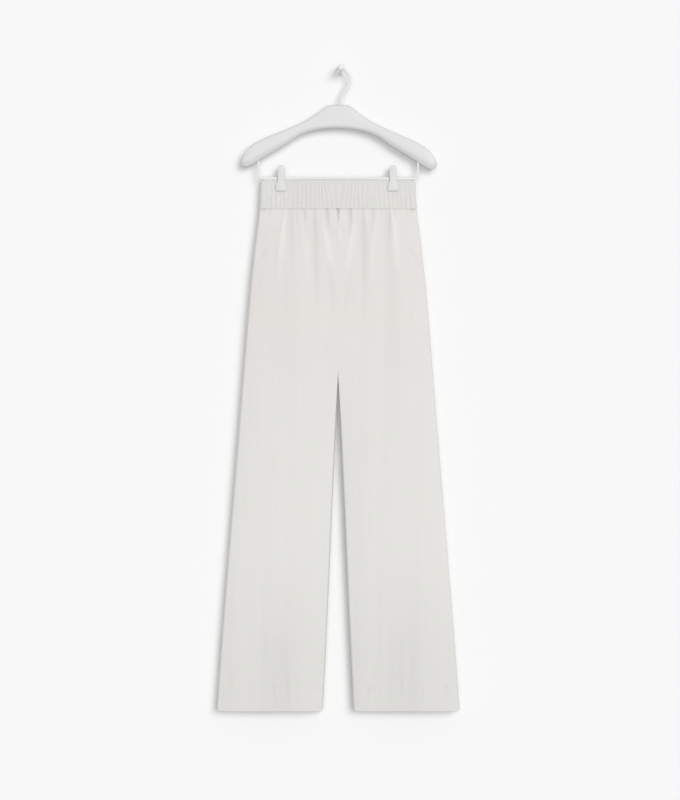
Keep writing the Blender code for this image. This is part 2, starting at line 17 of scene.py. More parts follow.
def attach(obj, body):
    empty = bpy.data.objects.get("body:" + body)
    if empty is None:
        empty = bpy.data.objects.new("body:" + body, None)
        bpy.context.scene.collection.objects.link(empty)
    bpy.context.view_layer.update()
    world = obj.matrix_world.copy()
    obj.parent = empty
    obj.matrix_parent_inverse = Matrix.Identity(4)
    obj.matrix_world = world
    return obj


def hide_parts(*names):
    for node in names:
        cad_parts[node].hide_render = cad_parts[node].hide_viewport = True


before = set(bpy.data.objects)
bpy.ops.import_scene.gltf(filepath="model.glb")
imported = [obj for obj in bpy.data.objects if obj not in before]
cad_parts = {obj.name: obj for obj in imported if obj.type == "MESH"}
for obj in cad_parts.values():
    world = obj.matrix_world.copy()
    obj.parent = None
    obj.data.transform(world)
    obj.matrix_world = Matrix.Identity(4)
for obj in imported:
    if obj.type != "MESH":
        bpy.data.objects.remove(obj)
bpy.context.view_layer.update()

MM = 0.001
RIGHT_ANGLE = math.radians(90)


def table(kind, *rows):
    return tuple(kind(*row) for row in rows)


# ---- sizes shared with the solids
SEAM_GAP = 0.3 * MM
MIDDLE_Y = -24 * MM  # plane of the hanger, the bar and the trousers' side seams
TROUSERS_X = -5.6 * MM
WAIST_SEAM_Z = -272.8 * MM
BAND_HEIGHT = 57 * MM
INSEAM_TOP = 326 * MM  # crotch, measured down from the waist seam
LEG_LENGTH = 1004 * MM
HEM_DEPTH = 36 * MM
FRONT, BACK = -1, 1  # side of the middle plane, along Y
LEFT, RIGHT = -1, 1  # half of the garment, along X
FACES = ((FRONT, "front"), (BACK, "back"))
HANDS = ((LEFT, "left"), (RIGHT, "right"))

# drop is measured down from the waist seam, half_width from the centre to the side seam and gap from the
# centre to the inseam, and front and back are how far each face stands from the middle plane.
Section = namedtuple("Section", "drop half_width gap front back")
SECTIONS = table(
    Section,
    (-57, 155, 0, 8, 8),
    (-28, 155.4, 0, 8.6, 8.6),
    (0, 157.4, 0, 8.2, 8.2),
    (32, 161.4, 0, 10.6, 11),
    (82, 167.6, 0, 13.4, 14.6),
    (142, 174.4, 0, 15, 17),
    (222, 181.5, 0, 15.6, 18),
    (326, 190, 0, 15, 16.6),
    (442, 199.2, 4.4, 14.2, 15.2),
    (582, 210.6, 10.8, 13.4, 14),
    (742, 223.7, 17.7, 12.8, 13.2),
    (902, 236.4, 25, 12.4, 12.6),
    (1004, 243.6, 30, 12, 12.4),
)
SIDE_TURN = 18 * MM
INNER_TURN = 20 * MM
BAND_TURN = 9 * MM
FORK_ABOVE = 6 * MM  # how far above the inseams the fork starts to open between the legs
FORK_RISE = 38 * MM  # height over which it opens
FORK_SLOPE_ABOVE = 60 * MM  # how far above the fork the slope towards it starts
FORK_SLOPE_LENGTH = 240 * MM  # and over what height it comes to its full depth
FOLD_REACH = 4.5 * MM  # how far in from a seam its tight fold goes
FORK_FOLD_SHARE = 0.18  # how tight that fold is at the fork
FORK_FOLD_LENGTH = 160 * MM  # and over what height it becomes as wide as elsewhere
SLOPE_FALL = 0.52  # share of its depth that the cloth has lost just inside the fold
SLOPE_REACH = 34 * MM  # how slowly it rises from there to its full depth
LEAN_DEPTH = 14 * MM  # depth by which the share of it becomes a slope
TOP_CORNER = 10 * MM
HEM_CORNER = 6 * MM
HEM_CORNER_REACH = 14 * MM  # how far up the rounding of a hem corner is spread

# ---- creases of the cloth
# A crease runs from x0 at drop0 through x1 halfway to x2 at drop2. width is its half width and height is
# how far it stands out, so a trough is negative.
Crease = namedtuple("Crease", "x0 x1 x2 drop0 drop2 width height")
FRONT_CREASES = table(
    Crease,
    # troughs that hang from the waist seam
    (0, 0, 0, -12, 40, 4.4, -1.8),
    (-24, -22, -20, -12, 80, 5, -1.7), (23, 22, 20, -12, 80, 5, -1.7),
    (-50, -46, -42, -12, 250, 7, -1.8), (48, 49, 50, -12, 250, 7, -1.8),
    (-69, -66.5, -64, -12, 110, 5.5, -1.6), (70, 66.5, 63, -12, 110, 5.5, -1.6),
    (-96, -96, -97, -12, 150, 7.5, -1.5), (96, 96, 97, -12, 150, 7.5, -1.5),
    # ridges between them
    (-30, -17, -4, 20, 190, 6.5, 1.3), (30, 19, 8, 20, 190, 6.5, 1.3),
    (-72, -64.5, -57, -8, 190, 6, 1.2), (72, 65.5, 59, -8, 190, 6, 1.2),
    (-108, -117, -134, -8, 210, 6.5, 1.2), (108, 117, 134, -8, 210, 6.5, 1.2),
    # broad folds of the thighs and above the hems
    (-104, -106, -108, 60, 520, 16, -0.7), (104, 106, 108, 60, 520, 16, -0.7),
    (-118, -119, -121, 700, 1760, 40, -0.9), (130, 132, 136, 690, 1760, 44, -0.9),
    (-127, -127, -128, 840, 1060, 7, -0.4), (124, 123, 122, 840, 1060, 7, -0.4),
    (-146, -150, -156, 820, 1100, 9, -0.3), (146, 151, 157, 830, 1100, 9, -0.3),
    (-112, -110, -104, 850, 1090, 8, -0.3), (108, 104, 98, 840, 1090, 8, -0.3),
    # fine creases that only show close to
    (-0.6, -0.6, -0.8, -9, 34, 1.4, -1.7), (3.4, 3.4, 3, -4, 40, 2.2, 0.8),
    (-23.2, -22.8, -21.2, -6, 34, 1.7, -0.8), (23.8, 23.6, 21.6, -6, 34, 1.7, -0.9),
    (-48.6, -48, -46.2, -6, 72, 2.4, -0.9), (47.8, 47.4, 46.4, -6, 60, 2.2, -0.9),
    (-69.4, -68.4, -64.8, -6, 50, 1.9, -0.7), (69.6, 68.6, 65.4, -6, 50, 1.9, -0.7),
    (-11, -11.4, -10.4, 34, 62, 2.4, -0.6), (9.2, 9.4, 8.8, 38, 58, 2.4, -0.5),
    (0.8, 0.6, 0.4, 34, 88, 2.6, 0.8),
    (-36, -35, -34, 0, 40, 3, -0.5), (37, 36, 35, 0, 36, 3, -0.5),
    (-84, -83, -81, -4, 46, 3, -0.5), (85, 84, 82, -4, 44, 3, -0.5),
    (-112, -113, -116, -4, 40, 2.6, -0.7), (112, 113, 116, -4, 40, 2.6, -0.7),
    (-138, -138, -140, -4, 30, 3, -0.5), (139, 139, 141, -4, 32, 3, -0.5),
    (-101, -101, -102, -4, 110, 2.2, -0.5), (101, 101, 102, -4, 110, 2.2, -0.5),
    (-20, -12, -8, 96, 250, 8, -0.8), (22, 15, 10, 100, 250, 8, -0.8),
    (-106, -114, -124, -4, 120, 2.4, 0.7), (106, 113, 124, -4, 120, 2.4, 0.7),
    (-55, -55.4, -56, 0, 60, 2.6, 0.4), (57, 57.6, 58, 0, 60, 2.6, 0.4),
    (-31, -27, -16, 0, 100, 2.6, 0.4), (31, 27, 16, 0, 100, 2.6, 0.4),
    # drag lines towards the side seams
    (-140, -157, -174, 76, 126, 7, -0.8), (138, 154, 171, 74, 126, 7, -0.8),
    (-150, -163, -176, 118, 190, 8, -0.5), (149, 161, 175, 116, 190, 8, -0.5),
    # tucks at the waist seam's ends
    (-150, -149, -147, -4, 10, 4.5, -1.8), (149, 148, 146, -4, 10, 4.5, -1.8),
    # the hems
    (-131, -128, -126, 946, 1010, 3.2, -1.1), (-104, -100, -95, 928, 1032, 4, -0.9),
    (-50, -44, -38, 946, 972, 4, -0.5), (-216, -216, -214, 930, 976, 5, -0.7),
    (67, 56, 44, 946, 1008, 3.6, -0.9), (126, 125, 124, 930, 986, 3.2, -0.8),
    (214, 215, 215, 946, 986, 5, -0.7), (168, 167, 164, 960, 1000, 4, -0.4),
)
BACK_CREASES = table(
    Crease,
    (0, 0, 0, -12, 60, 4, -3),
    (-22, -24, -26, -12, 90, 5.5, -2.2), (27, 26, 25, -12, 80, 5.5, -2.2),
    (-55, -51, -47, -12, 220, 7.5, -2), (51, 53.5, 56, -12, 200, 7.5, -2),
    (-84, -82, -80, -12, 130, 6, -1.8), (88, 85, 82, -12, 150, 6, -1.8),
    (-38, -36, -34, -8, 160, 6.5, 1.6), (39, 38, 37, -8, 150, 6.5, 1.6),
    (-70, -67, -64, -8, 190, 6.5, 1.6), (71, 69.5, 68, -8, 180, 6.5, 1.6),
    (-112, -120, -128, -8, 200, 7, 2), (110, 120, 130, -8, 210, 7, 2),
    (-104, -107, -110, 80, 620, 18, -0.8), (108, 110, 112, 80, 600, 18, -0.8),
    (-132, -133, -135, 700, 1760, 46, -0.8), (130, 131, 133, 680, 1760, 46, -0.8),
    (-128, -129, -130, 830, 1070, 8, -0.4), (127, 128, 130, 820, 1070, 8, -0.4),
    (0.2, 0.2, 0.2, -6, 46, 1.6, -1.4),
    (-22, -22.6, -24, -6, 44, 1.9, -0.8), (26.6, 26.2, 25.4, -6, 40, 1.8, -0.8),
    (-53.6, -53, -51, -6, 80, 2.4, -0.9), (51.4, 51.8, 52.6, -6, 66, 2.2, -0.9),
    (-84, -83.6, -82.4, -6, 50, 2, -0.7), (87.4, 87, 85.8, -6, 54, 2, -0.7),
    (-98, -98.6, -100, -4, 90, 2.4, -0.8), (101, 101.6, 103, -4, 84, 2.4, -0.8),
    (-131, -132, -134, -4, 36, 3, -0.6), (133, 134, 136, -4, 40, 3, -0.6),
    (-12, -11, -9, 40, 96, 3, 0.7), (13, 12, 9, 44, 90, 3, 0.6),
    (-138, -154, -170, 90, 150, 8, -0.8), (140, 155, 171, 84, 146, 8, -0.8),
    (-40, -30, -16, 210, 320, 8, -0.9), (42, 30, 16, 204, 320, 8, -0.9),
    (-88, -87, -84, 944, 1000, 4, -0.6),
    (-206, -206, -204, 936, 980, 5, -0.6), (96, 97, 100, 950, 1000, 4, -0.6),
    (202, 203, 203, 940, 984, 5, -0.6),
)
CREASES = {FRONT: FRONT_CREASES, BACK: BACK_CREASES}
CREASE_RISE = 0.2  # share of a crease's length over which it starts
CREASE_FALL = 0.75  # share of its length over which it dies away
CREASE_EDGE = 1.6  # how soon the creases fade towards the seams

# Slow ripples of hanging cloth: length across, length along, turn and height of each wave.
Wave = namedtuple("Wave", "across along turn height")
RIPPLES = table(
    Wave,
    (61, 1900, 0.4, 0.20),
    (37, 1300, 2.1, 0.12),
    (23, 760, 4.4, 0.06),
    (15.5, -540, 1.2, 0.03),
    (9.7, 410, 3.3, 0.015),
    (-19, 250, 5.6, 0.03),
    (330, 300, 0.9, 0.35),
)
RIPPLE_START = 60 * MM  # how far below the waist seam they reach their full height

# Seams
SEAM_GROOVE = 0.35 * MM  # how deep the cloth rolls in at a seam
SEAM_GROOVE_WIDTH = 1.5 * MM
INSEAM_GROOVE = 0.3  # share of that depth at the centre and the inseams
SEAM_TOUCH = 0.03 * MM  # how near two panels come at a seam
WAIST_TUCK = 1.2 * MM  # how far the seam allowance lies inside the waistband
WAIST_TUCK_RISE = 0.2 * MM  # height over which the cloth comes out from under the waistband
WAIST_TUCK_END = 0.1 * MM  # how far above the seam it is out
WAIST_STEP = 0.08 * MM  # how far the waistband stands out over the cloth just below it
WAIST_STEP_FADE = 3.0 * MM
WAIST_PUCKER = 0.55 * MM
WAIST_PUCKER_FADE = 15 * MM
HEM_ROLL = 1.3 * MM  # radius of the hem's folded edge
HEM_PUCKER = 0.16 * MM
HEM_PUCKER_WIDTH = 7 * MM
SHELL = 0.8 * MM  # thickness of the cloth

# Rows of the leg's mesh, from the waist down: each stretch and how many steps it takes.
Stretch = namedtuple("Stretch", "start end steps")
LEG_STRETCHES = table(
    Stretch,
    (-7, -0.3, 2),
    (-0.3, 0.5, 5),
    (0.5, 6, 6),
    (6, 60, 26),
    (60, 270, 54),
    (270, 346, 30),
    (346, 930, 66),
    (930, 1000, 26),
)
HEM_ROLL_STEPS = 6
TURN_UP_STEPS = 5
INNER_ARC_COLUMNS = 14
FLAT_COLUMNS = 88
SIDE_ARC_COLUMNS = 14

# Gathers of the waistband
GATHERS = 36
GATHER_HEIGHT = 1.2 * MM
GATHER_SPREAD = 1.0  # how much further apart the middle gathers stand at the top
GATHER_SPREAD_WIDTH = 20 * MM
GATHER_PLAIN_TOP = 7 * MM  # height over which they die away below the top edge
GATHER_PLAIN_FOOT = 5 * MM  # height over which they grow above the seam
GATHER_FOOT = 0.4  # share of their height that they have at the seam
GATHER_COLUMNS = 14
GATHER_INSIDE = -0.3  # share of their height, turned round, that shows inside the waistband
BAND_LAYERS = 3 * MM  # both layers and the elastic
BAND_ROLL = BAND_LAYERS / 2  # half the thickness of the folded top edge
BAND_ROLL_RISE = 0.7 * MM  # and how high the fold goes
BAND_FOOT_ROWS = (-0.1 * MM, 0.1 * MM, 0.4 * MM, 0.9 * MM)
BAND_ROWS = 30
BAND_END_COLUMNS = 12
BAND_INSIDE_ROWS = 10
BAND_ROLL_STEPS = 8

# ---- hanger, hook, bar, clips and peg
CLIP_REACH = {LEFT: -113.6 * MM, RIGHT: 110.0 * MM}  # from the trousers' centre
CLIP_BAND_DEPTH = 4.0 * MM  # how far the pressed cloth stands from the middle plane
CLIP_COVER = 21 * MM  # how far down the waistband a jaw reaches
CLIP_HALF_WIDTH = 13 * MM  # how far to each side of its middle the cloth is pressed flat
CLIP_FADE = 46 * MM  # and how far beyond it is drawn in
Leaf = namedtuple("Leaf", "height half_width front back")
LEAF_ROWS = table(
    Leaf,
    (-26.6, 6.2, 5.4, 4.6),
    (-25.8, 8.5, 5.9, 4.5),
    (-24.2, 10.1, 6.4, 4.5),
    (-21.8, 10.8, 6.8, 4.5),
    (-15, 10.8, 7.2, 4.5),
    (-8.6, 8.4, 7.4, 4.5),
    (-4.6, 7.1, 7.5, 4.8),
    (4.6, 6.9, 7.8, 4.8),
    (8, 6.9, 8, 5),
    (19, 6.9, 8.6, 5.6),
    (21.8, 6.7, 8.6, 5.7),
    (24, 5.8, 8.6, 5.8),
    (25.4, 4.4, 8.4, 6.1),
    (26, 2.6, 8.1, 6.6),
)
LEAF_STEPS = 110
# The next five are in millimetres.
LEAF_ROUND = 1.0  # rounding of a leaf's outer edges
LEAF_BACK_ROUND = 0.4  # and of its inner ones
LEAF_THINNEST = 0.15  # least distance of its inner face from the middle plane
LEAF_CLEARANCE = 0.2  # room between its groove and the bar
KNUCKLE = 4.4  # half height of the boss that holds the bar

HANGER_X = -4.2 * MM
HANGER_TILT = 0.015  # how far the right arm hangs lower, for each unit along it
HANGER_TOP_Z = -64.4 * MM
Arm = namedtuple("Arm", "reach top bottom thick bevel")
ARM = table(
    Arm,
    (0, 0, 46, 10, 4),
    (19.6, 1.2, 46.8, 10, 4),
    (27, 5.2, 47.8, 10, 4),
    (42, 17, 50, 10.2, 4.2),
    (58, 28, 54, 10.6, 5),
    (78, 38.6, 62.2, 11.2, 6.4),
    (100, 48.6, 76.8, 12, 7.6),
    (124, 58.8, 91.6, 13, 8.6),
    (148, 69.2, 106, 14, 9.6),
    (168, 79.6, 118.4, 14.6, 10.6),
    (180, 88.6, 125, 14.6, 11),
    (185.5, 94.6, 126.2, 14, 9.8),
    (190, 101.2, 125.6, 13, 7.6),
    (193, 106.6, 124, 11.4, 5.6),
    (195, 111.4, 121.8, 9, 3.4),
    (196, 114.8, 119.2, 6, 1.6),
)
ARM_STEPS = 120
# The next three are in millimetres.
ARM_TOP_ROUND = 4.2  # rounding of the arms' upper edges
ARM_EDGE_ROUND = 0.9  # rounding of their lower edges
ARM_BEVEL_ROUND = 3.0  # rounding where the slanted band meets the front
ARM_BEVEL_FOOT = 0.6  # where the slanted band ends, as a share of half the thickness
CORNER_STEPS = 5
CORNER_SHARE = 0.49  # most of a side that the rounding of one corner takes
SHARP_ANGLE = math.radians(40)  # hard pieces show an edge where they turn by more than this

HOOK_WIRE = 5.0 * MM
HookPoint = namedtuple("HookPoint", "x z")
HOOK_ROUTE = table(
    HookPoint,
    (0.2, -76), (0.3, -62), (1.2, -52), (3.8, -44),
    (7.8, -37), (12.2, -30.8), (16, -24.8), (18, -18.2),
    (18, -11.6), (15.8, -5), (11.8, 1.2), (6.4, 7),
    (0.4, 10.1), (-5.2, 8.5), (-9.6, 5), (-12.4, 1.2),
)
HOOK_STEPS = 130
BAR_WIRE = 7.0 * MM  # thickness along the waistband
BAR_END_WIRE = 4.4 * MM  # and where it goes up into the hanger
BAR_TAPER = 12 * MM  # how far in from its ends it has its full thickness
BAR_HALF_WIDTH = 160 * MM
BAR_Z = -212.2 * MM
BAR_CORNER = 6 * MM
BAR_CORNER_STEPS = 14
BAR_TAPER_STEPS = 6
BAR_SOCKET = 9 * MM
WIRE_SIDES = 24
WIRE_SQUARENESS = 0.72  # 1 for a round section, and less for one with flatter sides
DOME_ANGLES = tuple(math.radians(angle) for angle in (30, 55, 75))  # rings of the wire's domed end

PEG_RISE = math.radians(9.5)
PegRing = namedtuple("PegRing", "along radius")
PEG_STEM = table(
    PegRing,
    (-2, 3.6),
    (0.9, 3.6),
    (1.25, 3.45),
    (1.6, 3),
    (1.8, 2.4),
    (2.3, 2),
    (36.1, 2),
)
PEG_BALL_RADIUS = 7.1 * MM
PEG_BALL_AT = 42.9 * MM
PEG_SIDES = 56
PEG_BALL_RINGS = 28

# ---- camera, light and stage
PHOTO_WIDTH, PHOTO_HEIGHT = 680, 800  # pixels of the photograph
PHOTO_SCALE = 2.0 * MM  # one of its pixels, in the plane of the trousers
PEG_PIXEL = (340.8, 72.6)  # where the photograph shows the origin
CAMERA_DISTANCE = 4.5
CAMERA_SENSOR = 36.0
FLOOR_Z = -1.5
STAGE_SIZE = 9.0
WALL_BACK = 0.3 * MM  # how far the wall lies behind the peg's flat back
WALL_TONE = (243, 243, 243)  # in levels from 0 to 255, like all tones
FLOOR_TONE = (236, 236, 235)

# x, y and z point from the trousers to the sun, and softness is its width in degrees.
Sun = namedtuple("Sun", "name x y z strength softness")
SUNS = table(
    Sun,
    ("key", 0.42, -1, 0.32, 1.06, 30),
    ("front", 0.08, -1, 0.06, 1.29, 46),
    ("rear", -0.25, 1, 0.35, 1.6, 30),
)
FILL = 0.34  # brightness of the surroundings as a light
BACKGROUND = 0.939  # and as seen


# ---- curves and small sums
def smooth_step(value):
    value = np.clip(value, 0.0, 1.0)
    return value * value * (3 - 2 * value)


def curve(rows, column, at):
    """A smooth curve through the rows' values of column, read where the rows' first value is at."""
    keys = np.array([row[0] for row in rows], float)
    values = np.array([getattr(row, column) for row in rows], float)
    before = np.maximum(np.arange(len(rows)) - 1, 0)
    after = np.minimum(np.arange(len(rows)) + 1, len(rows) - 1)
    slopes = (values[after] - values[before]) / (keys[after] - keys[before])
    at = np.clip(np.asarray(at, float), keys[0], keys[-1])
    low = np.clip(np.searchsorted(keys, at, side="left") - 1, 0, len(rows) - 2)
    span = keys[low + 1] - keys[low]
    t = (at - keys[low]) / span
    start = (2 * t**3 - 3 * t**2 + 1) * values[low] + (t**3 - 2 * t**2 + t) * slopes[low] * span
    end = (3 * t**2 - 2 * t**3) * values[low + 1] + (t**3 - t**2) * slopes[low + 1] * span
    return start + end


def section(column, drop):
    return curve(SECTIONS, column, drop / MM) * MM


def corner_lift(edge_distance, radius):
    """How far a rounded corner rises or falls at this distance from the edge."""
    inside = np.clip(radius - edge_distance, 0.0, radius)
    return radius - np.sqrt(radius**2 - inside**2)


def crease_height(face, x, drop):
    """How far the creases lift the cloth at each place."""
    total = np.zeros(np.broadcast(x, drop).shape)
    for crease in CREASES[face]:
        t = (drop / MM - crease.drop0) / (crease.drop2 - crease.drop0)
        path = crease.x0 * (1 - t) * (1 - 2 * t) + 4 * crease.x1 * t * (1 - t) + crease.x2 * t * (2 * t - 1)
        off = (x / MM - path) / crease.width
        fade = smooth_step(t / CREASE_RISE) * smooth_step((1 - t) / CREASE_FALL)
        total += crease.height * np.exp(-off * off) * fade
    return total * MM


def ripple_height(face, x, drop):
    total = np.zeros(np.broadcast(x, drop).shape)
    for wave in RIPPLES:
        turns = x / MM / wave.across + drop / MM / wave.along
        total += wave.height * np.sin(2 * math.pi * turns + wave.turn * (1 + 0.5 * face))
    return total * MM


def clip_pinch(x, drop):
    """1 where a clip holds the waistband flat, falling to 0 away from the clips."""
    nearest = np.minimum(abs(x - CLIP_REACH[LEFT]), abs(x - CLIP_REACH[RIGHT]))
    sideways = 1 - smooth_step((nearest - CLIP_HALF_WIDTH) / CLIP_FADE)
    below_jaw = drop + BAND_HEIGHT - CLIP_COVER
    return sideways * (1 - smooth_step(below_jaw / (BAND_HEIGHT + CLIP_COVER)))


def face_depth(face, x, drop):
    """How far the face stands from the middle plane before it turns at the seams."""
    depth = section("front" if face == FRONT else "back", drop)
    pinch = clip_pinch(x, drop)
    return depth * (1 - pinch) + np.minimum(depth, CLIP_BAND_DEPTH) * pinch


# ---- meshes
def grid_mesh(name, points, thread, flip):
    """A sheet of quads through a grid of points. thread is each point's place on the flat cloth, and how far
    the creases lift it there, in metres; from that lift the cloth's finish paints shade in the hollows and
    light on the ridges."""
    rows, columns = points.shape[:2]
    index = np.arange(rows * columns).reshape(rows, columns)
    corners = [index[:-1, :-1], index[:-1, 1:], index[1:, 1:], index[1:, :-1]]
    if flip:
        corners.reverse()
    faces = np.stack(corners, axis=-1).reshape(-1, 4)
    mesh = bpy.data.meshes.new(name)
    mesh.from_pydata(points.reshape(-1, 3).tolist(), [], faces.tolist())
    place = mesh.attributes.new("thread", "FLOAT_VECTOR", "POINT")
    place.data.foreach_set("vector", thread.astype(np.float32).ravel())
    mesh.shade_smooth()
    sides = np.zeros(len(mesh.loops), np.int32)
    mesh.loops.foreach_get("edge_index", sides)
    cut_edge = mesh.attributes.new("sharp_edge", "BOOLEAN", "EDGE")
    cut_edge.data.foreach_set("value", np.bincount(sides) == 1)
    return mesh


def add_object(name, data):
    made = bpy.data.objects.new(name, data)
    bpy.context.scene.collection.objects.link(made)
    return made


def add_piece(name, mesh, finish, node):
    """Adds a piece that stands for a solid, in the frame's one body."""
    piece = add_object(name, mesh)
    mesh.materials.append(finish)
    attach(piece, "root")
    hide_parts(node)
    return piece


def thicken(piece):
    wall = piece.modifiers.new("thickness", "SOLIDIFY")
    wall.thickness = SHELL
    wall.offset = -1.0


def row_lengths(points):
    """Running length along each row of a grid."""
    steps = np.linalg.norm(np.diff(points, axis=1), axis=2)
    return np.concatenate([np.zeros((len(points), 1)), np.cumsum(steps, axis=1)], axis=1)


def column_lengths(heights, insets):
    """Running length from row to row, over the turned edges."""
    steps = np.hypot(np.diff(heights), np.diff(insets))
    return np.concatenate([[0.0], np.cumsum(steps)])


def grid(x, y, z):
    return np.stack(np.broadcast_arrays(x, y, z), axis=-1)


def placed(face, x, depth, z):
    """Points of one face of the trousers, from their distance out of the middle plane."""
    return grid(TROUSERS_X + x, MIDDLE_Y + face * (depth + SEAM_GAP / 2), z)


# ---- the legs
def leg_rows():
    """Drop and inset of each row: down the outside, round the hem's edge and up to the turn-up's end."""
    drops = []
    for stretch in LEG_STRETCHES:
        steps = np.linspace(stretch.start, stretch.end, stretch.steps, endpoint=False)
        drops += list(steps * MM)
    drops.append(LEG_LENGTH - 2 * HEM_ROLL)
    fallen = np.maximum(drops, 0.0)
    hidden = 1 - smooth_step(1 + (np.array(drops) + WAIST_TUCK_END) / WAIST_TUCK_RISE)
    insets = list(WAIST_TUCK * hidden + WAIST_STEP * np.exp(-((fallen / WAIST_STEP_FADE) ** 2)))
    for step in range(HEM_ROLL_STEPS + 1):
        angle = math.pi * step / HEM_ROLL_STEPS
        drops.append(LEG_LENGTH - HEM_ROLL * (1 - math.sin(angle)))
        insets.append(HEM_ROLL * (1 - math.cos(angle)))
    for step in range(1, TURN_UP_STEPS + 1):
        drops.append(LEG_LENGTH - HEM_ROLL - (HEM_DEPTH - HEM_ROLL) * step / TURN_UP_STEPS)
        insets.append(2 * HEM_ROLL)
    return np.array(drops), np.array(insets)


def leg_stations():
    inner = np.linspace(0, 1, INNER_ARC_COLUMNS, endpoint=False)
    flat = 1 + np.linspace(0, 1, FLAT_COLUMNS, endpoint=False)
    side = np.linspace(2, 3, SIDE_ARC_COLUMNS + 1)
    return np.concatenate([inner, flat, side])


def leg_points(face, hand, station, drop, inset):
    """Points of a leg panel. station runs from 0 at the centre or inseam edge through 1 and 2, where the
    cloth is flat, to 3 at the side seam. inset is how far the point lies inside the outer surface."""
    gap = np.maximum(section("gap", drop), SEAM_TOUCH)
    half_width = section("half_width", drop)
    fallen = np.clip((drop - INSEAM_TOP + FORK_ABOVE) / FORK_RISE, 0.0, 1.0)
    dip = 1 - np.sqrt(1 - fallen**2)
    inner_angle = RIGHT_ANGLE * np.clip(station, 0.0, 1.0)
    side_angle = RIGHT_ANGLE * np.clip(3.0 - station, 0.0, 1.0)
    flat = np.clip(station - 1.0, 0.0, 1.0)
    inner_end = gap + INNER_TURN
    side_start = half_width - SIDE_TURN
    x = inner_end + (side_start - inner_end) * flat
    x = np.where(station < 1, gap + INNER_TURN * (1 - np.cos(inner_angle)), x)
    x = np.where(station > 2, half_width - SIDE_TURN * (1 - np.cos(side_angle)), x)
    forked = smooth_step((drop - INSEAM_TOP + FORK_SLOPE_ABOVE) / FORK_SLOPE_LENGTH)
    widened = smooth_step((drop - INSEAM_TOP) / FORK_FOLD_LENGTH)
    reach = FOLD_REACH * (FORK_FOLD_SHARE + (1 - FORK_FOLD_SHARE) * widened)
    inner_rise = (1 - dip * (1 - fold_rise(x - gap, reach))) * (1 - forked * slope_fall(x - gap))
    rise = inner_rise * edge_rise(half_width - x)
    flatness = (1 - dip * (1 - np.sin(inner_angle))) * np.sin(side_angle)
    lean = edge_lean(x - gap) * smooth_step(dip) - edge_lean(half_width - x)

    relief = crease_height(face, hand * x, drop)
    relief += ripple_height(face, hand * x, drop) * smooth_step(drop / RIPPLE_START)
    relief += waist_puckers(hand * x / half_width, drop)
    relief += hem_puckers(face, hand * x, drop)
    relief *= flatness * smooth_step(flatness * CREASE_EDGE)
    depth = face_depth(face, hand * x, drop) * rise + relief

    inset = inset + seam_groove(x - gap, drop, INSEAM_GROOVE) + seam_groove(half_width - x, drop)
    x = x + inset * np.sin(lean)
    depth = np.maximum(depth - inset * np.cos(lean), 0.0)
    z = WAIST_SEAM_Z - drop
    near_hem = smooth_step((drop - LEG_LENGTH + HEM_CORNER_REACH) / HEM_CORNER_REACH)
    z = z + near_hem * (corner_lift(half_width - x, HEM_CORNER) + corner_lift(x - gap, HEM_CORNER))
    return placed(face, hand * x, depth, z)


def fold_rise(distance, reach=FOLD_REACH):
    """Share of its depth that the cloth has at this distance into the tight fold at a seam."""
    fold = np.clip(distance / reach, 0.0, 1.0)
    return np.sqrt(1 - (1 - fold) ** 2)


def slope_fall(distance):
    """Share of its depth that the cloth loses on the long gentle slope towards a seam."""
    return SLOPE_FALL * np.exp(-np.maximum(distance, 0.0) / SLOPE_REACH)


def edge_rise(distance):
    return fold_rise(distance) * (1 - slope_fall(distance))


def edge_lean(distance):
    """The way the cloth faces there: nearly 0 where it is flat, nearly a right angle at the seam."""
    step = 0.05 * MM
    climb = (edge_rise(distance + step) - edge_rise(distance)) / step
    return np.arctan(LEAN_DEPTH * climb)


def seam_groove(distance, drop, share=1.0):
    """The cloth rolls in at a seam, a little unevenly along it."""
    uneven = 1 + 0.25 * np.sin(drop / (3.1 * MM)) * np.sin(drop / (17 * MM))
    return SEAM_GROOVE * share * uneven * np.exp(-((distance / SEAM_GROOVE_WIDTH) ** 2))


def waist_puckers(share, drop):
    """Small gathers that run on from the waistband's."""
    phase = share * GATHERS / 2
    wave = abs(np.cos(math.pi * (phase + 0.1 * np.sin(3.1 * phase)))) - 0.64
    uneven = 0.65 + 0.35 * np.sin(1.7 * phase + 0.6)
    length = WAIST_PUCKER_FADE * (1 + 0.5 * np.sin(2.3 * phase))
    return WAIST_PUCKER * wave * uneven * np.exp(-((drop / length) ** 2)) * (drop > -2 * WAIST_TUCK_END)


def hem_puckers(face, x, drop):
    """The turn-up's stitching draws the cloth in along its upper edge."""
    along = x / MM
    wave = np.sin(along / 1.9 + 0.8 * np.sin(along / 13.0)) + 0.6 * np.sin(along / 3.1 + face)
    line = np.exp(-(((drop - LEG_LENGTH + HEM_DEPTH) / HEM_PUCKER_WIDTH) ** 2))
    step = smooth_step((drop - LEG_LENGTH + HEM_DEPTH + MM) / (3 * MM))
    return HEM_PUCKER * (wave * line - 1.3 * line * (1 - step) + 1.4 * step)


def leg_panel(node, face, hand, finish):
    name = f"leg_{node}"
    station = leg_stations()[None, :]
    drops, insets = leg_rows()
    points = leg_points(face, hand, station, drops[:, None], insets[:, None])
    across = row_lengths(points)
    down = column_lengths(drops, insets)
    # the creases' lift, kept for the cloth's painted shade in their hollows and painted light on their
    # ridges
    relief = crease_height(face, points[:, :, 0] - TROUSERS_X, drops[:, None])
    thread = grid(hand * across, -down[:, None], relief)
    piece = add_piece(name, grid_mesh(name, points, thread, hand != face), finish, node)
    thicken(piece)


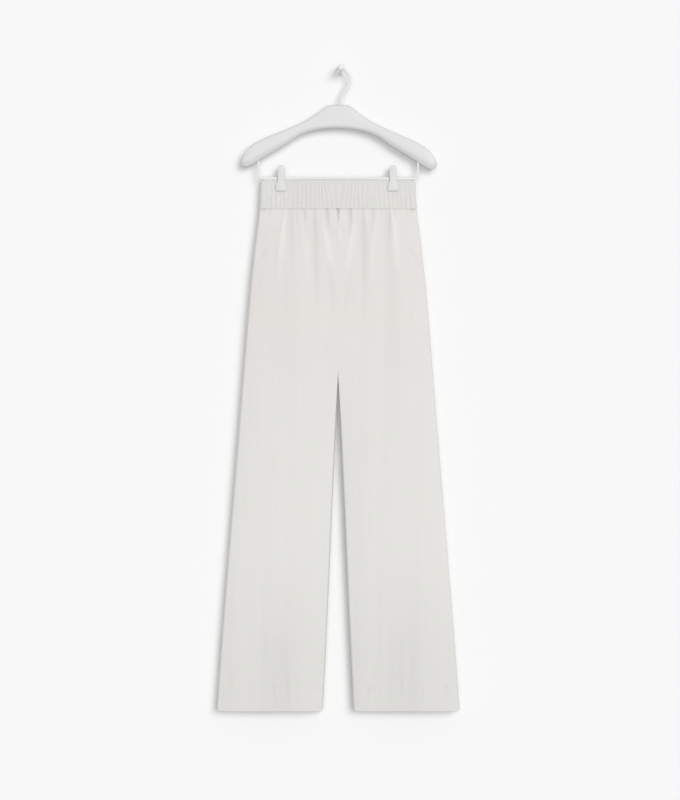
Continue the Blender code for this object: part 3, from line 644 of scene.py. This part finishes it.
# ---- the waistband
def gather_height(share, height, pinch):
    """How far the gathers stand out: rounded ridges with narrow valleys, a little uneven and crooked."""
    phase = share * GATHERS / 2
    crooked = phase + 0.08 * np.sin(height / (12 * MM) + 2.1 * phase) + 0.10 * np.sin(5.3 * phase)
    ridge = abs(np.cos(math.pi * crooked)) ** 0.9
    split = 0.06 * abs(np.sin(math.pi * crooked)) ** 6 * smooth_step(height / (25 * MM))
    uneven = 0.8 + 0.2 * np.sin(1.9 * phase) * np.sin(0.7 * phase + 1.0)
    swell = 0.86 + 0.14 * np.sin(3.7 * phase + height / (13 * MM))
    foot = GATHER_FOOT + (1 - GATHER_FOOT) * smooth_step(height / GATHER_PLAIN_FOOT)
    top = smooth_step((BAND_HEIGHT - height) / GATHER_PLAIN_TOP)
    return GATHER_HEIGHT * (ridge + split) * uneven * swell * foot * top * (1 - pinch)


def band_points(face, share, height, inset, gathered):
    """Points of a waistband half. share runs from -1 to 1 along it, and -1 and 1 are the side seams."""
    half_width = section("half_width", -height)
    turn_share = BAND_TURN / half_width
    flat_end = half_width - BAND_TURN
    past_flat = (abs(share) - (1 - turn_share)) / turn_share
    side_angle = RIGHT_ANGLE * (1 - np.clip(past_flat, 0.0, 1.0))
    seam_x = share / (1 - turn_share) * flat_end
    fan = 1 + GATHER_SPREAD * height / BAND_HEIGHT * np.exp(-((seam_x / GATHER_SPREAD_WIDTH) ** 2))
    end_x = np.copysign(half_width - BAND_TURN * (1 - np.cos(side_angle)), share)
    x = np.where(past_flat <= 0, seam_x * fan, end_x)
    from_seam = half_width - abs(x)
    depth = face_depth(face, x, -height) * edge_rise(from_seam)
    jaw = height > BAND_HEIGHT - CLIP_COVER - GATHER_PLAIN_TOP
    pinch = np.where(jaw, clip_pinch(x, -height), 0.0)
    proud = gather_height(share, height, pinch) * gathered - inset - seam_groove(from_seam, height)
    lean = -edge_lean(from_seam)
    x = x - np.copysign(proud * np.sin(lean), share)
    depth = np.maximum(depth + proud * np.cos(lean), 0.0)
    z = WAIST_SEAM_Z + height
    corner = corner_lift(np.maximum(half_width - abs(x), 0.0), TOP_CORNER)
    z = z - corner * np.maximum(height / BAND_HEIGHT, 0.0) ** 2
    return placed(face, x, depth, z)


def band_shares():
    turn_share = BAND_TURN / float(section("half_width", 0.0))
    middle = np.linspace(-1, 1, GATHERS * GATHER_COLUMNS + 1) * (1 - turn_share)
    end = 1 - turn_share * (1 - np.arange(1, BAND_END_COLUMNS + 1) / BAND_END_COLUMNS)
    return np.concatenate([-end[::-1], middle, end])


def band_rows():
    """Height, inset and how gathered each row is: up the outside, over the edge and down the inside."""
    shoulder = BAND_HEIGHT - BAND_ROLL_RISE
    heights = list(BAND_FOOT_ROWS) + list(np.linspace(1.8 * MM, shoulder, BAND_ROWS - len(BAND_FOOT_ROWS)))
    insets = [0.0] * BAND_ROWS
    gathered = [1.0] * BAND_ROWS
    for step in range(1, BAND_ROLL_STEPS + 1):
        angle = math.pi * step / BAND_ROLL_STEPS
        heights.append(shoulder + BAND_ROLL_RISE * math.sin(angle))
        insets.append(BAND_ROLL * (1 - math.cos(angle)))
        gathered.append(math.cos(angle))
    for height in np.linspace(shoulder, 0.4 * MM, BAND_INSIDE_ROWS + 1)[1:]:
        heights.append(height)
        insets.append(BAND_LAYERS)
        gathered.append(GATHER_INSIDE)
    return np.array(heights), np.array(insets), np.array(gathered)


def waistband_half(node, face, finish):
    name = f"{node}_half"
    share = band_shares()[None, :]
    heights, insets, gathered = band_rows()
    points = band_points(face, share, heights[:, None], insets[:, None], gathered[:, None])
    across = row_lengths(points)
    up = column_lengths(heights, insets)
    # the gathers' lift about half their height, kept for the painted shade between them and the painted
    # light on their ridges
    relief = gather_height(share, heights[:, None], 0.0) * gathered[:, None] - GATHER_HEIGHT / 2
    thread = grid(across[BAND_ROWS // 2], up[:, None], relief)
    piece = add_piece(name, grid_mesh(name, points, thread, face == FRONT), finish, node)
    thicken(piece)


# ---- hard pieces
def rounded(corners):
    """A closed outline whose corners, each (across, up, radius), are rounded off."""
    outline = []
    for index, (across, up, radius) in enumerate(corners):
        corner = Vector((across, up))
        ends = []
        for neighbour in (corners[index - 1], corners[(index + 1) % len(corners)]):
            side = Vector(neighbour[:2]) - corner
            ends.append(corner + side * min(CORNER_SHARE, radius / max(side.length, 1e-9)))
        for step in range(CORNER_STEPS):
            t = step / (CORNER_STEPS - 1)
            outline.append(ends[0] * (1 - t) ** 2 + corner * 2 * t * (1 - t) + ends[1] * t**2)
    return outline


def loft(name, rings):
    """A solid through rings of equal point counts, closed by a fan of triangles at each end."""
    bm = bmesh.new()
    made = [[bm.verts.new(point) for point in ring] for ring in rings]
    for ring, following in zip(made, made[1:]):
        count = len(ring)
        for index in range(count):
            after = (index + 1) % count
            bm.faces.new((ring[index], ring[after], following[after], following[index]))
    for ring in (made[0], made[-1]):
        middle = bm.verts.new(sum((vert.co for vert in ring), Vector()) / len(ring))
        for index in range(len(ring)):
            bm.faces.new((ring[index], ring[(index + 1) % len(ring)], middle))
    bmesh.ops.recalc_face_normals(bm, faces=bm.faces)
    mesh = bpy.data.meshes.new(name)
    bm.to_mesh(mesh)
    bm.free()
    mesh.shade_smooth()
    mesh.set_sharp_from_angle(angle=SHARP_ANGLE)
    return mesh


def arm_ring(hand, reach):
    """One section of the hanger: a rounded top, flat faces and a slanted band along the lower front edge."""
    top, bottom, thick, bevel = (float(curve(ARM, column, reach)) for column in Arm._fields[1:])
    half = thick / 2
    height = bottom - top
    bevel = min(bevel, 0.6 * height)
    round_top = min(ARM_TOP_ROUND, 0.4 * height, 0.9 * half)
    edge = min(ARM_EDGE_ROUND, 0.2 * height)
    corners = (
        (-ARM_BEVEL_FOOT * half, bottom, edge),
        (-half, bottom - bevel, min(ARM_BEVEL_ROUND, 0.9 * bevel)),
        (-half, top, round_top),
        (half, top, round_top),
        (half, bottom, 1.3 * edge),
    )
    x = HANGER_X + hand * reach * MM
    top_z = HANGER_TOP_Z - HANGER_TILT * hand * reach * MM
    return [Vector((x, MIDDLE_Y + point.x * MM, top_z - point.y * MM)) for point in rounded(corners)]


def hanger_body(finish):
    """The sections stand closer together towards the arms' ends, where the outline turns."""
    reaches = [ARM[-1].reach * math.sin(RIGHT_ANGLE * step / ARM_STEPS) for step in range(ARM_STEPS + 1)]
    rings = [arm_ring(LEFT, reach) for reach in reversed(reaches)]
    rings += [arm_ring(RIGHT, reach) for reach in reaches[1:]]
    add_piece("hanger_body", loft("hanger_body", rings), finish, "hanger")


def flattened(part):
    return math.copysign(abs(part) ** WIRE_SQUARENESS, part)


def wire_mesh(name, path, diameters):
    """A wire with slightly flattened sides along a path in the middle plane. Its last end is a dome."""
    rings = []
    for index, (point, diameter) in enumerate(zip(path, diameters)):
        along = (path[min(index + 1, len(path) - 1)] - path[max(index - 1, 0)]).normalized()
        side = Vector((along.z, 0, -along.x))
        ring = []
        for turn in range(WIRE_SIDES):
            angle = 2 * math.pi * turn / WIRE_SIDES
            across, out = flattened(math.cos(angle)), flattened(math.sin(angle))
            ring.append(point + (side * across + Vector((0, 1, 0)) * out) * diameter / 2)
        rings.append(ring)
    for angle in DOME_ANGLES:
        away = along * diameter / 2 * math.sin(angle)
        rings.append([point + away + (spot - point) * math.cos(angle) for spot in ring])
    return loft(name, rings)


def hook_path():
    Running = namedtuple("Running", "length x z")
    route, length = [], 0.0
    for before, point in zip((HOOK_ROUTE[0], *HOOK_ROUTE), HOOK_ROUTE):
        length += math.hypot(point.x - before.x, point.z - before.z)
        route.append(Running(length, point.x, point.z))
    at = np.linspace(0, length, HOOK_STEPS + 1)
    xs, zs = curve(route, "x", at), curve(route, "z", at)
    return [Vector((x * MM, MIDDLE_Y, z * MM)) for x, z in zip(xs, zs)]


def bar_diameter(point):
    """The bar is thinner in its upright ends than along the waistband."""
    from_end = BAR_HALF_WIDTH - abs(point.x - TROUSERS_X)
    return BAR_END_WIRE + (BAR_WIRE - BAR_END_WIRE) * float(smooth_step(from_end / BAR_TAPER))


def bar_path():
    path = []
    for hand in (LEFT, RIGHT):
        reach = abs(TROUSERS_X + hand * BAR_HALF_WIDTH - HANGER_X) / MM
        drop = float(curve(ARM, "bottom", reach)) + HANGER_TILT * hand * reach
        top = HANGER_TOP_Z - drop * MM + BAR_SOCKET
        side = [Vector((hand * BAR_HALF_WIDTH, 0, top))]
        for step in range(BAR_CORNER_STEPS + 1):
            angle = RIGHT_ANGLE * step / BAR_CORNER_STEPS
            x = BAR_HALF_WIDTH - BAR_CORNER * (1 - math.cos(angle))
            side.append(Vector((hand * x, 0, BAR_Z + BAR_CORNER * (1 - math.sin(angle)))))
        for step in range(1, BAR_TAPER_STEPS + 1):
            x = BAR_HALF_WIDTH - BAR_CORNER - (BAR_TAPER - BAR_CORNER) * step / BAR_TAPER_STEPS
            side.append(Vector((hand * x, 0, BAR_Z)))
        path += side if hand == LEFT else side[::-1]
    return [point + Vector((TROUSERS_X, MIDDLE_Y, 0)) for point in path]


def leaf_back(height):
    """The leaf's inner face, which comes to the middle plane round the bar and has a groove for it."""
    if abs(height) > KNUCKLE:
        return float(curve(LEAF_ROWS, "back", height))
    groove = BAR_WIRE / 2 / MM + LEAF_CLEARANCE
    return max(math.sqrt(max(groove**2 - height**2, 0.0)), LEAF_THINNEST)


def clip_leaf(node, face, hand, finish):
    """One leaf of a clip: a finger lever above the bar, a boss round the bar and a wider jaw below it."""
    x_centre = TROUSERS_X + CLIP_REACH[hand]
    rings = []
    for step in range(LEAF_STEPS + 1):
        share = 0.5 - 0.5 * math.cos(math.pi * step / LEAF_STEPS)
        height = LEAF_ROWS[0].height + (LEAF_ROWS[-1].height - LEAF_ROWS[0].height) * share
        width = float(curve(LEAF_ROWS, "half_width", height))
        front, back = float(curve(LEAF_ROWS, "front", height)), leaf_back(height)
        inner, outer = LEAF_BACK_ROUND, min(LEAF_ROUND, 0.45 * (front - back))
        left_side = (-width, back, inner), (-width, front, outer)
        right_side = (width, front, outer), (width, back, inner)
        z = BAR_Z + height * MM
        ring = []
        for point in rounded(left_side + right_side):
            ring.append(Vector((x_centre + point.x * MM, MIDDLE_Y + face * point.y * MM, z)))
        rings.append(ring)
    name = f"{node}_leaf"
    add_piece(name, loft(name, rings), finish, node)


def wall_peg(finish):
    """A turned peg with a ball end, cut off flat at the wall."""
    profile = [(ring.along * MM, ring.radius * MM) for ring in PEG_STEM]
    start = math.asin(PEG_STEM[-1].radius * MM / PEG_BALL_RADIUS)
    for step in range(PEG_BALL_RINGS):
        angle = start + (math.pi - start) * step / PEG_BALL_RINGS
        profile.append((PEG_BALL_AT - PEG_BALL_RADIUS * math.cos(angle), PEG_BALL_RADIUS * math.sin(angle)))
    turn = Matrix.Rotation(RIGHT_ANGLE - PEG_RISE, 3, "X")
    rings = []
    for along, radius in profile:
        angles = [2 * math.pi * side / PEG_SIDES for side in range(PEG_SIDES)]
        rings.append([turn @ Vector((radius * math.cos(a), radius * math.sin(a), along)) for a in angles])
    mesh = loft("peg", rings)
    bm = bmesh.new()
    bm.from_mesh(mesh)
    everything = bm.verts[:] + bm.edges[:] + bm.faces[:]
    bmesh.ops.bisect_plane(bm, geom=everything, plane_co=(0, 0, 0), plane_no=(0, 1, 0), clear_outer=True)
    bmesh.ops.holes_fill(bm, edges=[edge for edge in bm.edges if edge.is_boundary])
    bm.to_mesh(mesh)
    bm.free()
    add_piece("peg", mesh, finish, "wall_peg")


# ---- finishes
FIGURE_CONTRAST = 0.014  # how much lighter the figure is than the ground
CREASE_PAINTED_LIGHT_AND_SHADE = 0.07  # painted shade and light: how much darker the creases' hollows, and how much lighter their ridges, are coloured
SLUB_CONTRAST = 0.024  # how much the tone varies from thread to thread
PAINTED_SHADE_DEPTH = 2.5 * MM  # lift at which a crease's painted light, and hollow at which its painted shade, is strongest
BOUNCE_LOSS = 0.40  # how much darker the pieces are to the light that they pass on
HIP_TONE = (222, 218, 215)
THIGH_TONE = (221, 220, 216)
HEM_AND_BAND_SHADE_TONE = (216, 215, 211)  # darker, as painted shade: the light falls off down the legs to the hems; also the waistband's, where it is partly painted shade among the gathers and partly the elastic cloth's own tone
HIP_FADE = (-0.14, -0.42)  # where the tone of the hips goes over into that of the thighs
HEM_SHADE_FADE = (-0.64, -0.98)  # and that into the darker one of the hems, which is painted shade
CLOTH_ROUGHNESS = (0.82, 0.6)  # of the ground and of the figure
WEAVE_RELIEF = 0.12 * MM
LOZENGE_LINE = (0.16, 0.34)  # from the inside to the outside of the lattice's lines, as a sum of its waves
LOZENGE_DOT = (1.25, 1.5)  # and from the outside to the inside of its dots
SKIN_TONE = 0.04  # how much the tone of a smooth piece varies
SKIN_GLOSS = 0.15  # and how much its roughness does
MIX_SOCKETS = {"FLOAT": (2, 3, 0), "RGBA": (6, 7, 2)}  # a mix node's inputs and output, by kind

Finish = namedtuple("Finish", "name tone roughness grain relief")
WHITE_PLASTIC = Finish("white_plastic", (209, 209, 209), 0.42, 300.0, 0.05 * MM)
COATED_WIRE = Finish("white_coated_wire", (228, 228, 227), 0.6, 500.0, 0.03 * MM)
SATIN_METAL = Finish("satin_metal", (228, 228, 226), 0.6, 900.0, 0.01 * MM)


def srgb(tone):
    """A tone as light."""
    parts = [level / 255 for level in tone]
    return tuple(part / 12.92 if part <= 0.04045 else ((part + 0.055) / 1.055) ** 2.4 for part in parts)


class Nodes:
    """Short ways to place and link shader nodes in one tree."""

    def __init__(self, tree):
        self.tree = tree

    def add(self, kind, values=(), **settings):
        node = self.tree.nodes.new(kind)
        for name, value in settings.items():
            setattr(node, name, value)
        for name, value in dict(values).items():
            self.put(value, node.inputs[name])
        return node

    def put(self, value, socket):
        if isinstance(value, bpy.types.NodeSocket):
            self.tree.links.new(value, socket)
        else:
            socket.default_value = value

    def math(self, operation, first, second=0.0):
        node = self.add("ShaderNodeMath", operation=operation)
        self.put(first, node.inputs[0])
        self.put(second, node.inputs[1])
        return node.outputs[0]

    def wave(self, operation, value, length):
        turns = self.math("DIVIDE", value, length)
        return self.math(operation, self.math("MULTIPLY", turns, 2 * math.pi))

    def span(self, value, low, high, to_low=0.0, to_high=1.0):
        values = {"Value": value, "From Min": low, "From Max": high, "To Min": to_low, "To Max": to_high}
        return self.add("ShaderNodeMapRange", values, interpolation_type="SMOOTHSTEP").outputs[0]

    def mix(self, share, first, second, kind="FLOAT"):
        node = self.add("ShaderNodeMix", data_type=kind)
        low, high, mixed = MIX_SOCKETS[kind]
        self.put(share, node.inputs[0])
        self.put(first, node.inputs[low])
        self.put(second, node.inputs[high])
        return node.outputs[mixed]

    def noise(self, place, scale, detail=3.0, roughness=0.5):
        values = {"Vector": place, "Scale": scale, "Detail": detail, "Roughness": roughness}
        return self.add("ShaderNodeTexNoise", values).outputs[0]


def node_group(name, inputs, outputs):
    """A shader group that takes a place and the numbers in inputs, and gives the ones named in outputs."""
    group = bpy.data.node_groups.new(name, "ShaderNodeTree")
    group.interface.new_socket("Place", in_out="INPUT", socket_type="NodeSocketVector")
    for title, value in inputs.items():
        socket = group.interface.new_socket(title, in_out="INPUT", socket_type="NodeSocketFloat")
        socket.default_value = value
    for title in outputs:
        group.interface.new_socket(title, in_out="OUTPUT", socket_type="NodeSocketFloat")
    nodes = Nodes(group)
    return group, nodes, nodes.add("NodeGroupInput").outputs, nodes.add("NodeGroupOutput").inputs


def jacquard_group():
    """A small all-over lattice of lozenges with a dot in each, floated on a fine rib."""
    sizes = {"Lozenge width": 10 * MM, "Lozenge height": 16 * MM, "Yarn": 0.7 * MM}
    group, nodes, given, made = node_group("jacquard", sizes, ("Figure", "Height", "Tone"))
    across, along, _ = nodes.add("ShaderNodeSeparateXYZ", {"Vector": given["Place"]}).outputs
    wave_across = nodes.wave("COSINE", across, given["Lozenge width"])
    wave_along = nodes.wave("COSINE", along, given["Lozenge height"])
    lattice = nodes.math("ABSOLUTE", nodes.math("ADD", wave_across, wave_along))
    lines = nodes.span(lattice, *LOZENGE_LINE, 1.0, 0.0)
    figure = nodes.math("MAXIMUM", lines, nodes.span(lattice, *LOZENGE_DOT))
    rib = nodes.wave("SINE", along, given["Yarn"])
    float_rib = nodes.wave("SINE", across, given["Yarn"])
    weave = nodes.mix(figure, rib, float_rib)
    stretched = nodes.math("MULTIPLY", along, 0.03)
    slub_place = nodes.add("ShaderNodeCombineXYZ", {"X": across, "Y": stretched}).outputs[0]
    slub = nodes.noise(slub_place, 420.0, 4.0, 0.6)
    patch = nodes.noise(given["Place"], 14.0, 2.0)
    nodes.put(figure, made["Figure"])
    nodes.put(nodes.mix(0.2, figure, weave), made["Height"])
    nodes.put(nodes.math("SUBTRACT", nodes.mix(0.35, slub, patch), 0.5), made["Tone"])
    return group


def moulded_group():
    """The skin of a moulded or dipped piece: a soft unevenness of tone, gloss and surface."""
    usual = {"Grain": WHITE_PLASTIC.grain}
    group, nodes, given, made = node_group("moulded_skin", usual, ("Tone", "Height"))
    slow = nodes.noise(given["Place"], 18.0, 2.0)
    fine = nodes.noise(given["Place"], given["Grain"], 3.0, 0.6)
    nodes.put(nodes.math("SUBTRACT", slow, 0.5), made["Tone"])
    nodes.put(nodes.mix(0.4, slow, fine), made["Height"])
    return group


def new_material(name, **values):
    """A material with its shader's plain values set. Names are the shader's sockets, with _ for a space."""
    made = bpy.data.materials.new(name)
    made.use_nodes = True
    shader = made.node_tree.nodes["Principled BSDF"]
    for title, value in values.items():
        shader.inputs[title.replace("_", " ")].default_value = value
    return made, Nodes(made.node_tree), shader.inputs


def tint(nodes, shader, colour, change):
    """Gives the shader its colour, lighter by change, and darker to the light that it passes on."""
    bounced = nodes.math("MULTIPLY", nodes.add("ShaderNodeLightPath").outputs["Is Diffuse Ray"], BOUNCE_LOSS)
    bright = nodes.math("ADD", 1.0, nodes.math("SUBTRACT", change, bounced))
    tinted = nodes.add("ShaderNodeVectorMath", operation="SCALE")
    nodes.put(colour, tinted.inputs[0])
    nodes.put(bright, tinted.inputs["Scale"])
    nodes.put(tinted.outputs[0], shader["Base Color"])


def bump(nodes, shader, height, strength, distance):
    values = {"Height": height, "Strength": strength, "Distance": distance}
    nodes.put(nodes.add("ShaderNodeBump", values).outputs[0], shader["Normal"])


def jacquard_cloth(name, group, *tones):
    """The cloth's tone goes from the hips to the thighs and then, as painted shade, darker to the hems; its
    figure is a little lighter, and its creases get painted shade in their hollows and painted light on their
    ridges.
    """
    made, nodes, shader = new_material(name, Sheen_Weight=0.22, Sheen_Roughness=0.45, Specular_IOR_Level=0.3)
    place = nodes.add("ShaderNodeAttribute", attribute_name="thread").outputs["Vector"]
    weave = nodes.add("ShaderNodeGroup", {"Place": place}, node_tree=group).outputs
    _, down, lift = nodes.add("ShaderNodeSeparateXYZ", {"Vector": place}).outputs
    hip, thigh, hem = [(*srgb(tone), 1.0) for tone in tones]
    colour = nodes.mix(nodes.span(down, *HIP_FADE), hip, thigh, "RGBA")
    # painted shade: the cloth darkens towards the hems, where less light falls
    colour = nodes.mix(nodes.span(down, *HEM_SHADE_FADE), colour, hem, "RGBA")
    # painted shade in the creases' hollows and painted light on their ridges, from the lift kept in the
    # thread attribute
    crease_shade_mask = nodes.span(lift, -PAINTED_SHADE_DEPTH, PAINTED_SHADE_DEPTH, -1.0, 1.0)
    painted_crease_light_and_shade = nodes.math("MULTIPLY", crease_shade_mask, CREASE_PAINTED_LIGHT_AND_SHADE)
    figured = nodes.math("MULTIPLY", weave["Figure"], FIGURE_CONTRAST)
    toned = nodes.math("MULTIPLY", weave["Tone"], SLUB_CONTRAST)
    tint(nodes, shader, colour, nodes.math("ADD", painted_crease_light_and_shade, nodes.math("ADD", figured, toned)))
    nodes.put(nodes.span(weave["Figure"], 0.0, 1.0, *CLOTH_ROUGHNESS), shader["Roughness"])
    bump(nodes, shader, weave["Height"], 0.35, WEAVE_RELIEF)
    return made


def smooth_finish(look, group, **values):
    """A smooth moulded, dipped or turned finish with a slight unevenness."""
    made, nodes, shader = new_material(look.name, **values)
    place = nodes.add("ShaderNodeTexCoord").outputs["Object"]
    skin = nodes.add("ShaderNodeGroup", {"Place": place, "Grain": look.grain}, node_tree=group).outputs
    tint(nodes, shader, srgb(look.tone), nodes.math("MULTIPLY", skin["Tone"], SKIN_TONE))
    uneven = nodes.math("MULTIPLY", skin["Tone"], SKIN_GLOSS)
    nodes.put(nodes.math("ADD", look.roughness, uneven), shader["Roughness"])
    bump(nodes, shader, skin["Height"], 0.3, look.relief)
    return made


# ---- stage
def stage_paint(name, colour, passes_bounce):
    """Matt paint that is clear from behind and to shadow rays, and where asked also to bounced light."""
    made, nodes, _ = new_material(name, Base_Color=(*colour, 1.0), Roughness=0.9, Specular_IOR_Level=0.1)
    painted = made.node_tree.nodes["Principled BSDF"].outputs[0]
    clear = nodes.add("ShaderNodeBsdfTransparent").outputs[0]
    behind = nodes.add("ShaderNodeNewGeometry").outputs["Backfacing"]
    path = nodes.add("ShaderNodeLightPath").outputs
    passed = nodes.math("MAXIMUM", behind, path["Is Shadow Ray"])
    if passes_bounce:
        passed = nodes.math("MAXIMUM", passed, path["Is Diffuse Ray"])
    mixed = nodes.add("ShaderNodeMixShader", {"Fac": passed})
    nodes.put(painted, mixed.inputs[1])
    nodes.put(clear, mixed.inputs[2])
    nodes.put(mixed.outputs[0], made.node_tree.nodes["Material Output"].inputs["Surface"])
    return made


def add_plane(name, corners, finish):
    mesh = bpy.data.meshes.new(name)
    mesh.from_pydata(corners, [], [(0, 1, 2, 3)])
    mesh.materials.append(finish)
    add_object(name, mesh)


def make_stage():
    side, front, back = STAGE_SIZE / 2, -STAGE_SIZE, WALL_BACK
    wall = ((-side, back, FLOOR_Z), (side, back, FLOOR_Z), (side, back, side), (-side, back, side))
    add_plane("wall", wall, stage_paint("wall_paint", srgb(WALL_TONE), False))
    floor = ((-side, front, FLOOR_Z), (side, front, FLOOR_Z), (side, side, FLOOR_Z), (-side, side, FLOOR_Z))
    add_plane("floor", floor, stage_paint("floor_paint", srgb(FLOOR_TONE), True))


def add_sun(sun):
    light = bpy.data.lights.new(sun.name, "SUN")
    light.energy = sun.strength
    light.angle = math.radians(sun.softness)
    towards = Vector((sun.x, sun.y, sun.z))
    add_object(sun.name, light).rotation_euler = towards.to_track_quat("Z", "Y").to_euler()


def make_light():
    for sun in SUNS:
        add_sun(sun)
    world = bpy.data.worlds.new("studio")
    world.use_nodes = True
    bpy.context.scene.world = world
    nodes = Nodes(world.node_tree)
    path = nodes.add("ShaderNodeLightPath").outputs
    seen = nodes.math("MAXIMUM", path["Is Camera Ray"], path["Is Glossy Ray"])
    surroundings = world.node_tree.nodes["Background"].inputs
    surroundings["Color"].default_value = (1.0, 1.0, 1.0, 1.0)
    nodes.put(nodes.span(seen, 0.0, 1.0, FILL, BACKGROUND), surroundings["Strength"])
    bpy.context.scene.view_settings.view_transform = "Standard"


def make_camera():
    camera = bpy.data.cameras.new("camera")
    camera.sensor_width = CAMERA_SENSOR
    camera.lens = CAMERA_SENSOR * CAMERA_DISTANCE / (PHOTO_HEIGHT * PHOTO_SCALE)
    stand = add_object("camera", camera)
    x = (PHOTO_WIDTH / 2 - PEG_PIXEL[0]) * PHOTO_SCALE
    z = (PEG_PIXEL[1] - PHOTO_HEIGHT / 2) * PHOTO_SCALE
    stand.location = (x, MIDDLE_Y - CAMERA_DISTANCE, z)
    stand.rotation_euler = (RIGHT_ANGLE, 0, 0)
    bpy.context.scene.camera = stand


# ---- the whole
def make_trousers():
    weave = jacquard_group()
    cloth = jacquard_cloth("leg_jacquard", weave, HIP_TONE, THIGH_TONE, HEM_AND_BAND_SHADE_TONE)
    # the waistband's darker tone is partly painted shade among its gathers and partly its elastic cloth's
    # own
    band = jacquard_cloth("band_jacquard", weave, HEM_AND_BAND_SHADE_TONE, HEM_AND_BAND_SHADE_TONE, HEM_AND_BAND_SHADE_TONE)
    for face, face_name in FACES:
        for hand, hand_name in HANDS:
            leg_panel(f"{face_name}_{hand_name}", face, hand, cloth)
        waistband_half(f"waistband_{face_name}", face, band)


def make_hanger():
    skin = moulded_group()
    plastic = smooth_finish(WHITE_PLASTIC, skin, Coat_Weight=0.1)
    wire = smooth_finish(COATED_WIRE, skin, Specular_IOR_Level=0.3)
    metal = smooth_finish(SATIN_METAL, skin, Metallic=0.1)
    hanger_body(plastic)
    for hand, hand_name in HANDS:
        for face, face_name in FACES:
            clip_leaf(f"clip_{hand_name}_{face_name}", face, hand, plastic)
    hook, bar = hook_path(), bar_path()
    hook_mesh = wire_mesh("hook_wire", hook, [HOOK_WIRE] * len(hook))
    bar_mesh = wire_mesh("bar_wire", bar, [bar_diameter(point) for point in bar])
    add_piece("hook_wire", hook_mesh, wire, "hook")
    add_piece("bar_wire", bar_mesh, wire, "clip_bar")
    wall_peg(metal)


make_trousers()
make_hanger()
make_stage()
make_light()
make_camera()
